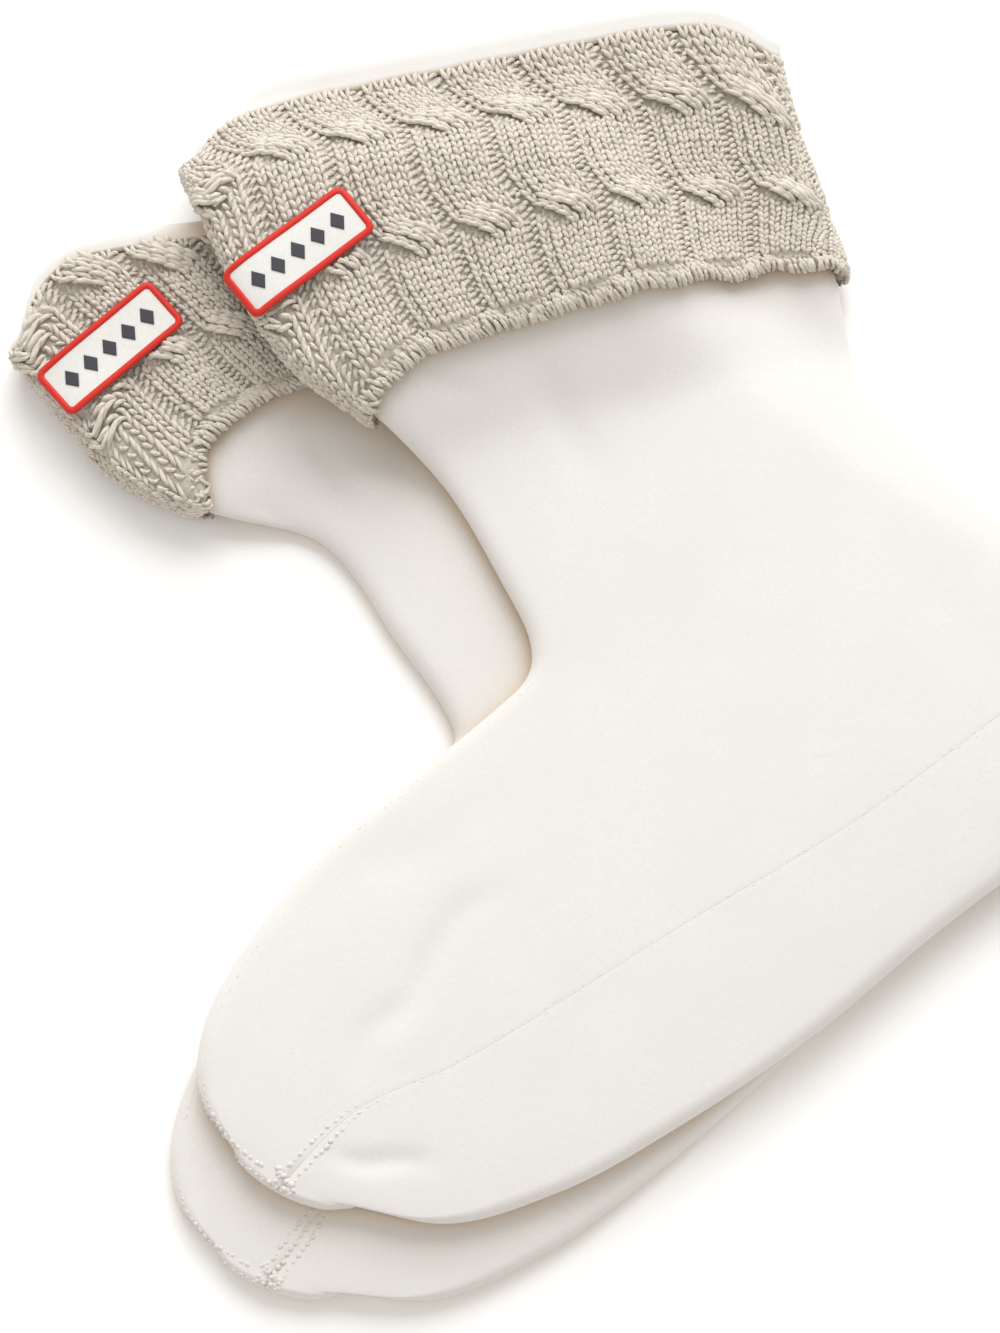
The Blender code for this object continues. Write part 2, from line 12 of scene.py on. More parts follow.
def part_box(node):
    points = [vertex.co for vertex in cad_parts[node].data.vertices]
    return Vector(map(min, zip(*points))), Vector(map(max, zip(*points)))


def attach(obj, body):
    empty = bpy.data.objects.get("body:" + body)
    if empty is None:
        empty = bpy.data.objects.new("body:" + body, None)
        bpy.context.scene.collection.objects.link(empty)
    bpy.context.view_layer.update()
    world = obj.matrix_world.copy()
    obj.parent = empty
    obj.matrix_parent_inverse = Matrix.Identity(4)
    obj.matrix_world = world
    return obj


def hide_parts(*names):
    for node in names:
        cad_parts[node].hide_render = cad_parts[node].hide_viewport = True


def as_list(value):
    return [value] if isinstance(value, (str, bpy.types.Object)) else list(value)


bl_info = {
    "name": "Boot Socks",
    "version": (1, 0, 0),
    "blender": (4, 5, 0),
    "location": "3D View > Sidebar > Boot Socks",
    "description": "Builds a pair of fleece boot socks with cable-knit cuffs from sizes and colours",
    "category": "Add Mesh",
}

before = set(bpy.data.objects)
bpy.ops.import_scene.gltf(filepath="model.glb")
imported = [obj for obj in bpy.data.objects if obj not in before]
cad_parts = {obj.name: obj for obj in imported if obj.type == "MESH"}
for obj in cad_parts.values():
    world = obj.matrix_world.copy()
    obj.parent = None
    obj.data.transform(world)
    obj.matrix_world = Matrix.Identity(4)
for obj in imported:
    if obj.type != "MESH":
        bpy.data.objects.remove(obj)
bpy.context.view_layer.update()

MM = 0.001

# The form, as in the part's source: millimetres, in the plan of the photograph
FLEECE = 2.6  # wall of the fleece
KNIT = 3.0  # wall of the knit without its cables
HOLLOW = 1.6  # between the two layers of fleece at the folds
LOOSE = 1.0  # between the cuff and the leg that it is folded over
SEAM = 0.6  # between the knit and the turned edge that it is sewn to
COME_DOWN = 26.0  # below the hem, over which the leg's far side comes down
EDGE_REACH = 4.5  # how far the round of a fold reaches into the sock
TOP_RIM = 7.0  # how far the fleece turns over, measured from the fold
BOTTOM_RIM = 5.0
SLIT_DEPTH = 3.6  # from the fold to the bottom of the slit behind the turned edge
TOE_REACH = 2.2  # how far the round of the toe end reaches past the last section
TOE_SLANT = 1.5  # how far the ends of a ring come in for each millimetre that it reaches out
BOW_FLATNESS = 8  # exponent: the cuff's rows are straight across the middle and turn at the folds
TOE_FLATNESS = 2  # the same for the rows that bow towards the toe
CROWN_FLATNESS = 0.7  # exponent: how flat the near side is between its folds
# how far the leg sinks in below the cuff, how far below the hem, and over what length
HEM_HOLLOW, HEM_HOLLOW_AT, HEM_HOLLOW_WIDTH = 1.7, 3.0, 8.0
SEAM_POINTS, SEAM_STEPS = 200, 161  # of the sole's seam, and round a row where it is looked for
SOCKS = ("bottom_sock", "top_sock")  # in the order in which they are laid down

Section = namedtuple("Section", "name front_x front_y back_x back_y bow skew height")
TOP_LEG = (
    Section("fold", -81.1, 137.4, 73.6, 174.9, 18.5, 0.2, 7.2),
    Section("knit top", -81.9, 133.2, 73.6, 167.8, 14.0, 0.05, 7.4),
    Section("upper cuff", -76.7, 119.4, 78.0, 149.2, 13.0, 0.1, 7.6),
    Section("middle cuff", -66.5, 98.3, 82.9, 133.9, 12.0, 0.15, 7.8),
    Section("lower cuff", -51.1, 75.8, 87.5, 117.6, 10.5, 0.2, 8.0),
    Section("hem", -32.1, 62.3, 91.2, 105.7, 8.5, 0.3, 8.0),
    Section("shin", -15.7, 47.0, 96.6, 81.6, 4.0, 0.15, 8.2),
    Section("calf", 1.3, 18.4, 115.2, 57.1, 0.0, 0.0, 8.4),
    Section("ankle", 8.2, 2.2, 143.1, 32.2, 0.0, 0.0, 8.6),
)
BOTTOM_LEG = (
    Section("fold", -128.6, 89.5, 16.3, 129.0, 14.5, 0.8, 7.2),
    Section("knit top", -128.6, 86.0, 17.2, 125.5, 13.5, 0.8, 7.4),
    Section("upper cuff", -124.3, 79.0, 19.5, 120.5, 13.5, 0.7, 7.6),
    Section("middle cuff", -113.2, 65.8, 23.9, 112.8, 14.5, 0.55, 7.8),
    Section("lower cuff", -99.5, 50.8, 29.4, 105.1, 15.5, 0.4, 8.0),
    Section("hem", -77.7, 40.6, 35.1, 97.4, 16.5, 0.3, 8.0),
    Section("shin", -48.7, 33.5, 51.4, 82.4, 8.0, 0.15, 8.2),
    Section("calf", -27.1, 5.3, 74.1, 62.7, 0.0, 0.0, 8.4),
    Section("ankle", -14.3, -13.4, 108.5, 39.1, 0.0, 0.0, 8.6),
)
FOOT = (
    Section("heel top", 6.3, -6.9, 165.0, 11.0, 0.0, 0.0, 8.8),
    Section("heel", -0.8, -13.9, 171.4, -11.5, 0.0, 0.0, 9.0),
    Section("heel base", -11.8, -23.2, 164.4, -33.7, 0.0, 0.0, 9.0),
    Section("arch", -26.1, -35.1, 144.0, -49.6, 0.0, 0.0, 9.0),
    Section("instep", -44.1, -50.1, 114.3, -71.7, 0.0, 0.0, 9.0),
    Section("midfoot", -61.5, -70.2, 80.2, -99.5, 0.0, 0.0, 9.0),
    Section("ball", -74.0, -91.1, 45.9, -122.4, 0.0, 0.0, 8.8),
    Section("toes", -77.5, -106.2, 15.2, -139.0, -1.0, 0.0, 8.4),
    Section("toe tips", -75.0, -118.0, -15.2, -147.0, -2.5, 0.0, 7.8),
    Section("toe end", -68.5, -126.5, -36.5, -142.3, -4.0, 0.0, 7.2),
)
SOLE_SEAM = (
    (-62.5, -147.0),
    (-56.0, -138.5),
    (-36.6, -119.0),
    (-12.7, -108.0),
    (6.4, -97.0),
    (46.6, -71.9),
    (90.6, -45.4),
    (126.9, -19.0),
    (154.7, 3.0),
    (184.5, 25.3),
)
TOE_TIP = (-56.4, -137.7)
UNDER_TURN = 6.8
UNDER_TOE_TIP = (-60.0, -161.5)
PAIR_CENTRE = (19.5, 9.0)  # middle of the pair's plan, which is the object's origin

# Soft troughs in the cloth, uneven in length, width and depth as they lie, in the photograph's plan
CREASE_POINTS, CREASE_REACH = 25, 45.0
Crease = namedtuple("Crease", "points width depth")
TOP_CREASES = (
    Crease(
        ((0.0, -63.3), (-9.8, -68.3), (-17.5, -79.9), (-23.1, -91.0), (-32.8, -99.2), (-35.8, -108.2)), 4.4, 1.1
    ),
    Crease(((-49.2, -65.7), (-33.7, -56.5), (-18.2, -51.3), (0.0, -38.1)), 7.5, 0.6),
    Crease(((-42.0, -130.0), (-35.0, -132.0), (-27.0, -131.5), (-18.0, -131.5)), 3.0, 1.0),
    Crease(((9.9, 79.1), (13.4, 70.4), (18.7, 59.3), (23.2, 49.6)), 5.6, 1.2),
    Crease(((-19.6, 74.0), (-13.9, 71.5), (-6.7, 69.9)), 3.2, 1.0),
    Crease(((8.4, -117.6), (19.2, -103.1), (29.1, -79.9)), 8.5, 0.45),
    Crease(((114.5, 18.9), (120.0, 8.6), (124.4, -2.7)), 8.5, 0.5),
)
BOTTOM_CREASES = (
    Crease(((-49.9, 59.3), (-45.3, 51.0), (-39.1, 40.8)), 3.2, 1.4),
    Crease(((-68.3, 42.7), (-62.0, 41.4), (-55.5, 37.2)), 2.8, 1.2),
    Crease(((-30.0, 62.0), (-24.0, 48.0), (-12.0, 34.0)), 5.0, 0.6),
    Crease(((-40.0, -129.7), (-33.0, -136.0), (-24.5, -138.0)), 3.0, 0.7),
    Crease(((-14.0, -70.0), (-24.0, -84.0), (-30.0, -98.0)), 4.0, 0.6),
)
HIDDEN_CREASES = (
    Crease(((20.0, 44.0), (38.0, 34.0), (70.0, 26.0)), 5.0, 0.6),
    Crease(((-34.0, -72.0), (-12.0, -70.0), (12.0, -58.0)), 6.0, 0.5),
    Crease(((90.0, -10.0), (104.0, -22.0), (128.0, -28.0)), 4.5, 0.7),
    Crease(((-50.0, -108.0), (-38.0, -118.0), (-22.0, -120.0)), 3.5, 0.6),
)

# The knit: repeats of six knit stitches, which cross three over three, and two purl stitches
STITCHES = 64  # across one side
REPEAT, STRANDS = 8, 6
CABLES = 2 * STITCHES // REPEAT  # all round
CABLE_HEIGHT, CABLE_HALF = 2.0, 3.3  # millimetres, and stitches from a cable's middle to its side
CROSSING_HEIGHT, MIDDLE_HEIGHT = 1.8, 0.6  # of the strand in front, and of its middle stitch over that
CROSSING_DEPTH = 1.5  # of the strand behind
CROSSING_ROWS, CROSSING_BELL = 3.8, 1.6  # rows that a crossing takes, and over which it stands out
WALE_SPREAD = 1.12  # spacing of the cable's stitches, which push the purl columns together
STAGGER = 0.6  # rows by which each stitch of a strand turns later than the one before it
HEM_LENGTH = 5.0
FIRST_ROW = 0.15  # where the first row stands, just below the seam that joins the cuff on
STITCH_ROWS = 1.32  # over which a stitch's legs reach
STITCH_SHAPE = 1.09  # a stitch is wider than it is high
PURL_COLUMNS, PURL_WIDTH = (-0.38, 0.38), 0.95  # in stitches
PRESSED_HEIGHT, PRESSED_BESIDE = 0.4, 0.4  # of the yarn under the patch, and how far round it
HEM_TURNS = ((-0.9, 2.8, 0.6), (1.2, 2.6, 1.3), (3.0, 2.2, 1.5))  # start, length and height of a turn
LAST_TURN = 3.0  # starts here and goes round the roll to the leg
# how deep the middles of the yarns lie in the ground, and how much deeper on the far side
KNIT_SINK, KNIT_FAR_SINK = 0.75, 0.7
PURL_SINK, PURL_FAR_SINK = 1.0, 0.45
HEM_SINK, HEM_FAR_SINK = 0.85, 0.6
UNEVENNESS = 1.8  # limit of a random draw, in standard deviations
KNIT_SEEDS, SEAM_SEEDS = {"bottom_sock": 17, "top_sock": 41}, {"bottom_sock": 9, "top_sock": 5}
Knit = namedtuple("Knit", "rows crossings phase_rows phases")
TOP_KNIT = Knit(
    35, (7.6, 22.8), (0.0, 2.5, 7.5, 12.5, 17.5, 22.5, 27.5, 35.0), (4.0, 4.7, 6.8, 6.4, 5.9, 6.9, 5.8, 3.8)
)
BOTTOM_KNIT = Knit(25, (1.4, 13.8), (0.0, 6.0, 13.0, 19.0, 25.0), (7.0, 8.0, 9.2, 9.0, 8.0))


def through(knots, rows, at):
    """Values of a smooth curve through the rows, a row for each knot."""
    slopes = np.gradient(rows, knots, axis=0)
    before = np.clip(np.searchsorted(knots, at) - 1, 0, len(knots) - 2)
    span = (knots[before + 1] - knots[before])[:, None]
    t = (np.asarray(at) - knots[before])[:, None] / span
    return (
        (1 + 2 * t) * (1 - t) ** 2 * rows[before]
        + t * (1 - t) ** 2 * span * slopes[before]
        + t * t * (3 - 2 * t) * rows[before + 1]
        + t * t * (t - 1) * span * slopes[before + 1]
    )


def smoothstep(t):
    """A soft step from 0 to 1 over t from 0 to 1."""
    t = np.clip(t, 0.0, 1.0)
    return t * t * (3 - 2 * t)


def turned(plan, about, degrees):
    """Points of a plan, turned anticlockwise about one of them."""
    cos, sin = math.cos(math.radians(degrees)), math.sin(math.radians(degrees))
    x, y = (np.asarray(plan, float) - about).T
    return np.column_stack([x * cos - y * sin, x * sin + y * cos]) + about


def under(plan):
    """Points of the top sock's foot where the foot underneath has them."""
    return turned(plan, TOE_TIP, UNDER_TURN) + np.subtract(UNDER_TOE_TIP, TOE_TIP)


def under_foot():
    """The sections of the foot underneath."""
    made = []
    for section in FOOT:
        (front_x, front_y), (back_x, back_y) = under([section[1:3], section[3:5]])
        made.append(Section(section.name, front_x, front_y, back_x, back_y, *section[5:]))
    return tuple(made)


def crease_depth(creases, plan):
    """How far the creases press the cloth in at points of the plan."""
    depth = np.zeros(len(plan))
    for crease in creases:
        line = np.array(crease.points)
        knots = np.arange(len(line), dtype=float)
        line = through(knots, line, np.linspace(0.0, knots[-1], CREASE_POINTS))
        # a crease dies away to both its ends
        deep = crease.depth * np.sin(np.pi * np.linspace(0.06, 0.94, CREASE_POINTS)) ** 0.8
        close = np.flatnonzero(np.all(np.abs(plan - line.mean(axis=0)) < CREASE_REACH, axis=1))
        if len(close):
            away = ((plan[close, None, :] - line[None]) ** 2).sum(axis=2) / crease.width**2
            depth[close] += (deep * np.exp(-away)).max(axis=1)
    return depth


def level(x, y):
    """What a sock lies on when it lies on the floor."""
    return np.zeros_like(x)


class Sock:
    """The form of one sock: a flattened tube, addressed by how far down and how far round."""

    def __init__(self, name, sections, sole_seam, creases, rim, knit, rest):
        self.name, self.creases, self.rim, self.cable_knit, self.rest = name, creases, rim, knit, rest
        self.rows = np.array([section[1:] for section in sections])
        front, back = np.diff(self.rows[:, 0:2], axis=0), np.diff(self.rows[:, 2:4], axis=0)
        steps = np.maximum(np.hypot(*front.T), np.hypot(*back.T))
        self.knots = np.concatenate([[0.0], np.cumsum(steps)])
        self.length = self.knots[-1]
        self.hem = self.knots[[section.name for section in sections].index("hem")]
        self.knit = rim + SEAM
        seam = np.array(sole_seam, float)
        knots = np.arange(len(seam), dtype=float)
        self.seam = through(knots, seam, np.linspace(0, knots[-1], SEAM_POINTS))

    def lift(self, down):
        """Height of the leg's far side: it lies on the cuff's far wall and comes down below it."""
        return (KNIT + LOOSE) * (1 - smoothstep((down - self.hem) / COME_DOWN))

    def tube(self, down, around, out=0.0, squeeze=1.0, forward=0.0, raised=0.0, flat=False):
        """Points at places on the tube. around is 0 at the front fold, 1 at the back, 2 at the front."""
        given = [np.asarray(value, float) for value in (down, around, out, squeeze, forward, raised)]
        arrays = np.broadcast_arrays(*given)
        shape = arrays[0].shape
        down, around, out, squeeze, forward, raised = (array.ravel() for array in arrays)
        values = through(self.knots, self.rows, down)
        front, back = values[:, 0:2], values[:, 2:4]
        bow, skew, height = values[:, 4:7].T
        chord = back - front
        width = np.hypot(*chord.T)
        along = chord / width[:, None]
        up = np.column_stack([-along[:, 1], along[:, 0]])
        thin = 2 * FLEECE + HOLLOW
        reach = np.minimum(EDGE_REACH + out, width / 2)
        inset = (1 - squeeze) * reach + TOE_SLANT * forward - out
        span = width - 2 * inset
        reach = np.minimum(reach, span / 2)
        half = (thin / 2 + out) * squeeze
        quarter = math.pi / 2 * np.hypot(reach, half) / math.sqrt(2)
        side = 2 * quarter + span - 2 * reach
        around = np.mod(around, 2)
        far = around > 1
        place = np.where(far, 2 - around, around) * side
        from_edge = np.minimum(place, side - place)
        turn = np.clip(from_edge / quarter, 0.0, 1.0) * math.pi / 2
        inward = reach * (1 - np.cos(turn)) + np.maximum(from_edge - quarter, 0.0)
        facing = np.where(place < side / 2, -1.0, 1.0)
        across = np.where(facing < 0, inward, span - inward) + inset
        across = across + facing * np.cos(turn) * raised
        height_of = np.where(far, -1.0, 1.0) * np.sin(turn) * (half + raised)
        part = np.clip(across / width, 0.0, 1.0)
        flatness = np.where(bow > 0, BOW_FLATNESS, TOE_FLATNESS)
        bend = bow * (1 - np.abs(2 * part - 1) ** flatness) * (1 + skew * (1 - 2 * part)) - forward
        plan = front + across[:, None] * along + bend[:, None] * up
        if flat:
            return plan.reshape(*shape, 2)
        crown = (height - thin) * squeeze * np.sin(math.pi * part) ** CROWN_FLATNESS
        below_hem = (down - self.hem - HEM_HOLLOW_AT) / HEM_HOLLOW_WIDTH
        under_hem = np.exp(-(below_hem**2)) * np.sin(math.pi * part)
        near_side = crown - crease_depth(self.creases, plan) - HEM_HOLLOW * under_hem
        far_side = crease_depth(HIDDEN_CREASES, plan)
        z = thin / 2 + self.lift(down) + height_of + np.sin(turn) * np.where(far, far_side, near_side)
        x, y = (plan - PAIR_CENTRE).T
        return np.column_stack([x, y, z + self.rest(x, y)]).reshape(*shape, 3)

    def side(self, down, out):
        """Distance across one side of the tube, over both of its rounds."""
        values = through(self.knots, self.rows, np.atleast_1d(down))
        width = np.hypot(*(values[:, 2:4] - values[:, 0:2]).T)
        reach, half = EDGE_REACH + out, FLEECE + HOLLOW / 2 + out
        quarter = math.pi / 2 * np.hypot(reach, half) / math.sqrt(2)
        return 2 * quarter + width + 2 * out - 2 * reach

    def seam_place(self, down, out, squeeze, forward):
        """How far round each row the sole's seam lies, and 1 where the row doesn't reach the sole."""
        around = np.linspace(0.0, 1.0, SEAM_STEPS)
        rows = [np.asarray(value, float)[:, None] for value in (down, out, squeeze, forward)]
        plan = self.tube(rows[0], around[None, :], rows[1], rows[2], rows[3], flat=True)
        run = np.diff(self.seam, axis=0)
        places = []
        for row in plan:
            away = row[:, None, :] - self.seam[None, :-1]
            t = np.clip((away * run).sum(axis=2) / (run * run).sum(axis=1), 0, 1)
            gap = away - t[..., None] * run
            nearest = (gap**2).sum(axis=2).argmin(axis=1)
            toward, offset = run[nearest], away[np.arange(len(row)), nearest]
            signed = (offset[:, 1] * toward[:, 0] - offset[:, 0] * toward[:, 1]) / np.hypot(*toward.T)
            sole = np.flatnonzero(signed < 0)
            first = sole[0] if len(sole) else None
            if first:
                before, after = signed[first - 1], signed[first]
                places.append(around[first - 1] + (around[1] - around[0]) * before / (before - after))
            else:
                places.append(1.0 if first is None else 0.0)
        return np.array(places)


# What a sock lies on
GRID_STEP = 3.0
SOCK_REACH, SOCK_CLEARANCE = (18.0, 15.0), 0.6
PATCH_REACH, PATCH_CLEARANCE = (9.0, 6.0), 0.5


def disk(radius):
    """Grid offsets within a radius."""
    reach = int(radius // GRID_STEP)
    steps = range(-reach, reach + 1)
    return [(i, j) for i in steps for j in steps if math.hypot(i, j) * GRID_STEP <= radius]


def on_top_of(nodes, reach, clearance):
    """Height at which soft cloth lies over CAD nodes: their height field, widened and smoothed."""
    trees, corners = [], []
    for name in nodes:
        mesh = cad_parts[name].data
        trees.append(BVHTree.FromPolygons([v.co for v in mesh.vertices], [p.vertices for p in mesh.polygons]))
        corners += [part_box(name)[0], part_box(name)[1]]
    corners = np.array([tuple(corner) for corner in corners]) / MM
    widen, smooth = disk(reach[0]), disk(reach[1])
    margin = int(sum(reach) // GRID_STEP) + 3
    start = np.floor(corners.min(axis=0)[:2] / GRID_STEP) - margin
    size = np.ceil(corners.max(axis=0)[:2] / GRID_STEP).astype(int) + margin - start.astype(int)
    field = np.zeros(size)
    above = corners.max() * MM
    for i in range(size[0]):
        for j in range(size[1]):
            x, y = (start + (i, j)) * GRID_STEP * MM
            hits = [tree.ray_cast(Vector((x, y, above)), Vector((0, 0, -1)))[0] for tree in trees]
            field[i, j] = max((hit.z / MM + clearance for hit in hits if hit), default=0.0)
    field = np.max([np.roll(field, offset, axis=(0, 1)) for offset in widen], axis=0)
    field = np.mean([np.roll(field, offset, axis=(0, 1)) for offset in smooth], axis=0)

    def height(x, y):
        place = np.column_stack([x, y]) / GRID_STEP - start
        place = np.clip(place, 1.0, np.array(size) - 2.001)
        cell = place.astype(int)
        weights = []
        for t in (place - cell).T:
            weights.append(((1 - t) ** 3, 3 * t**3 - 6 * t**2 + 4, 3 * t + 3 * t**2 - 3 * t**3 + 1, t**3))
        total = np.zeros(len(place))
        for i in range(4):
            for j in range(4):
                share = weights[0][i] * weights[1][j] / 36
                total += share * field[cell[:, 0] + i - 1, cell[:, 1] + j - 1]
        return total

    return height


made_once = {}


def the_sock(which):
    """The form of the bottom or the top sock, laid on the floor or on the other."""
    if which == "bottom_sock":
        sections, seam = BOTTOM_LEG + under_foot(), under(SOLE_SEAM)
        return Sock(which, sections, seam, BOTTOM_CREASES, BOTTOM_RIM, BOTTOM_KNIT, level)
    if "drape" not in made_once:
        below = ["bottom_sock_" + part for part in ("upper", "sole", "cuff", "patch")]
        made_once["drape"] = on_top_of(below, SOCK_REACH, SOCK_CLEARANCE)
    return Sock(which, TOP_LEG + FOOT, SOLE_SEAM, TOP_CREASES, TOP_RIM, TOP_KNIT, made_once["drape"])


# Meshes
WELD_DISTANCE = 2e-6
ALL_SMOOTH = 99  # more groups of faces than any piece has


def add_mesh(name, points, faces, material, corners=None, weld=False, smooth=ALL_SMOOTH):
    """A mesh object from points in millimetres and groups of faces, of which the first few are smooth."""
    faces = [np.asarray(group, np.int64) for group in faces if len(group)]
    mesh = bpy.data.meshes.new(name)
    loops = np.concatenate([group.ravel() for group in faces])
    totals = np.concatenate([np.full(len(group), group.shape[1]) for group in faces])
    mesh.vertices.add(len(points))
    mesh.vertices.foreach_set("co", (np.asarray(points) * MM).astype(np.float32).ravel())
    mesh.loops.add(len(loops))
    mesh.loops.foreach_set("vertex_index", loops.astype(np.int32))
    mesh.polygons.add(len(totals))
    mesh.polygons.foreach_set("loop_start", np.concatenate([[0], np.cumsum(totals)[:-1]]).astype(np.int32))
    mesh.polygons.foreach_set("loop_total", totals.astype(np.int32))
    is_smooth = np.repeat(np.arange(len(faces)) < smooth, [len(group) for group in faces])
    mesh.polygons.foreach_set("use_smooth", is_smooth)
    if corners is not None:
        layer = mesh.uv_layers.new(name="along_the_yarn")
        layer.data.foreach_set("uv", np.asarray(corners, np.float32).ravel())
    mesh.update(calc_edges=True)
    mesh.validate()
    made = bpy.data.objects.new(name, mesh)
    bpy.context.scene.collection.objects.link(made)
    mesh.materials.append(material)
    if weld:
        modifier = made.modifiers.new("Weld", "WELD")
        modifier.merge_threshold = WELD_DISTANCE
        graph = bpy.context.evaluated_depsgraph_get()
        solid = bpy.data.meshes.new_from_object(made.evaluated_get(graph))
        made.modifiers.clear()
        made.data = solid
        solid.name = name
        bpy.data.meshes.remove(mesh)
    return made


def grid_faces(rows, columns, start=0, closed=False):
    """Quads of a grid of points, joined round if closed."""
    wide = columns if closed else columns - 1
    row, column = (part.ravel() for part in np.meshgrid(np.arange(rows - 1), np.arange(wide), indexing="ij"))
    here, following = row * columns + column, row * columns + (column + 1) % columns
    return start + np.column_stack([here, here + columns, following + columns, following])


def unit(vectors):
    """Vectors of unit length."""
    return vectors / (np.linalg.norm(vectors, axis=-1, keepdims=True) + 1e-12)


def swept(paths, normals, radii, sides):
    """Points, faces and UVs of yarns: tubes of few sides along paths, closed at both ends."""
    count, steps = paths.shape[:2]
    tangent = unit(np.gradient(paths, axis=1))
    across = unit(np.cross(tangent, normals))
    rise = np.cross(across, tangent)
    angle = 2 * np.pi * np.arange(sides) / sides + np.pi / 2
    cos, sin = np.cos(angle)[None, None, :, None], np.sin(angle)[None, None, :, None]
    ring = (across[:, :, None] * cos + rise[:, :, None] * sin) * radii[:, :, None, None]
    points = (paths[:, :, None] + ring).reshape(-1, 3)
    every = np.meshgrid(np.arange(count), np.arange(steps - 1), np.arange(sides), indexing="ij")
    path, step, side = (part.ravel() for part in every)
    here = (path * steps + step) * sides
    following = (side + 1) % sides
    quads = np.column_stack([here + side, here + following, here + sides + following, here + sides + side])
    start = np.arange(count)[:, None] * steps * sides
    first, last = start + np.arange(sides)[None, ::-1], start + (steps - 1) * sides + np.arange(sides)[None, :]
    low, high = step / (steps - 1), (step + 1) / (steps - 1)
    left, right = side / sides, (side + 1) / sides
    pairs = ((low, left), (low, right), (high, right), (high, left))
    quad_uv = np.stack([np.column_stack(pair) for pair in pairs], axis=1)
    cap_uv = np.zeros((2 * count * sides, 2))
    return points, [quads, np.concatenate([first, last])], np.concatenate([quad_uv.reshape(-1, 2), cap_uv])


def add_yarns(name, parts, material, slot):
    """A piece of the pair made of one or more swept sets of yarns."""
    points, faces, corners, start = [], [], [], 0
    for part_points, part_faces, part_corners in parts:
        points.append(part_points)
        faces += [group + start for group in part_faces]
        corners.append(part_corners)
        start += len(part_points)
    made = add_mesh(name, np.concatenate(points), faces, material, np.concatenate(corners))
    return of_the_pair(made, slot)


def layer_of(made, flat):
    """Surface of one layer of a closed piece in square metres, at most that of its flat rectangle."""
    return min(sum(polygon.area for polygon in made.data.polygons) / 2, flat[0] * flat[1])


def of_the_pair(made, slot, *nodes):
    """The piece rides on the pair and stands for the CAD nodes, which it hides."""
    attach(made, "root")
    if nodes:
        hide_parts(*nodes)
    return made


# Materials
# painted shade: the darker, warmer share of the fleece's colour that is painted into its folds, creases and the
# gaps between the pieces
FOLD_SHADE_TINT = (0.97, 0.8, 0.6)
TWIST, PLIES = 16.0, 12.566  # radians along a stitch's yarn, and round it for two plies


class Look:
    """A material and the few steps that its nodes are made with."""

    def __init__(self, name, **sockets):
        self.material = bpy.data.materials.get(name) or bpy.data.materials.new(name)
        self.material.use_nodes = True
        self.tree = self.material.node_tree
        self.tree.nodes.clear()
        self.shader = self.tree.nodes.new("ShaderNodeBsdfPrincipled")
        output = self.tree.nodes.new("ShaderNodeOutputMaterial")
        self.tree.links.new(self.shader.outputs["BSDF"], output.inputs["Surface"])
        for socket, value in sockets.items():
            self.shader.inputs[socket.replace("_", " ")].default_value = value
        self.place = self.tree.nodes.new("ShaderNodeTexCoord").outputs["Object"]
        self.relief = None

    def node(self, kind, links=None, **settings):
        made = self.tree.nodes.new(kind)
        for key, value in settings.items():
            if key in made.inputs:
                made.inputs[key].default_value = value
            else:
                setattr(made, key, value)
        for key, source in (links or {}).items():
            self.tree.links.new(source, made.inputs[key])
        return made

    def noise(self, size, detail, roughness=0.5, distortion=0.0):
        """Noise whose grains are about size millimetres across."""
        shape = {"Scale": 1 / (size * MM), "Detail": detail, "Roughness": roughness, "Distortion": distortion}
        return self.node("ShaderNodeTexNoise", {"Vector": self.place}, **shape).outputs["Fac"]

    def mapped(self, value, low, high):
        """A value from 0 at low to 1 at high."""
        ends = {"From Min": low, "From Max": high}
        return self.node("ShaderNodeMapRange", {"Value": value}, **ends).outputs["Result"]

    def grained(self, noise, low, high, first, second):
        """A blend of two colours by a noise, over its range from low to high."""
        return self.mixed(self.mapped(self.noise(*noise), low, high), first, second)

    def maths(self, operation, first, second):
        made = self.node("ShaderNodeMath", operation=operation)
        for socket, value in zip(made.inputs, (first, second)):
            if isinstance(value, (int, float)):
                socket.default_value = value
            else:
                self.tree.links.new(value, socket)
        return made.outputs["Value"]

    def mixed(self, share, first, second):
        """A blend of two colours, each a tuple or a socket."""
        made = self.node("ShaderNodeMix", data_type="RGBA")
        self.tree.links.new(share, made.inputs["Factor"])
        for key, value in (("A", first), ("B", second)):
            socket = next(s for s in made.inputs if s.name == key and s.type == "RGBA")
            if isinstance(value, tuple):
                socket.default_value = (*value[:3], 1.0)
            else:
                self.tree.links.new(value, socket)
        return next(s for s in made.outputs if s.type == "RGBA")

    def colour(self, source):
        self.tree.links.new(source, self.shader.inputs["Base Color"])

    def bump(self, height, distance, strength):
        """Adds relief, with its full depth in millimetres."""
        below = {"Normal": self.relief} if self.relief else {}
        full = {"Distance": distance * MM, "Strength": strength}
        made = self.node("ShaderNodeBump", {"Height": height, **below}, **full)
        self.relief = made.outputs["Normal"]
        self.tree.links.new(self.relief, self.shader.inputs["Normal"])


def shade(colour, *factors):
    """A colour times one factor, or one for each channel."""
    return tuple(min(channel * factor, 1.0) for channel, factor in zip(colour, factors * (4 - len(factors))))


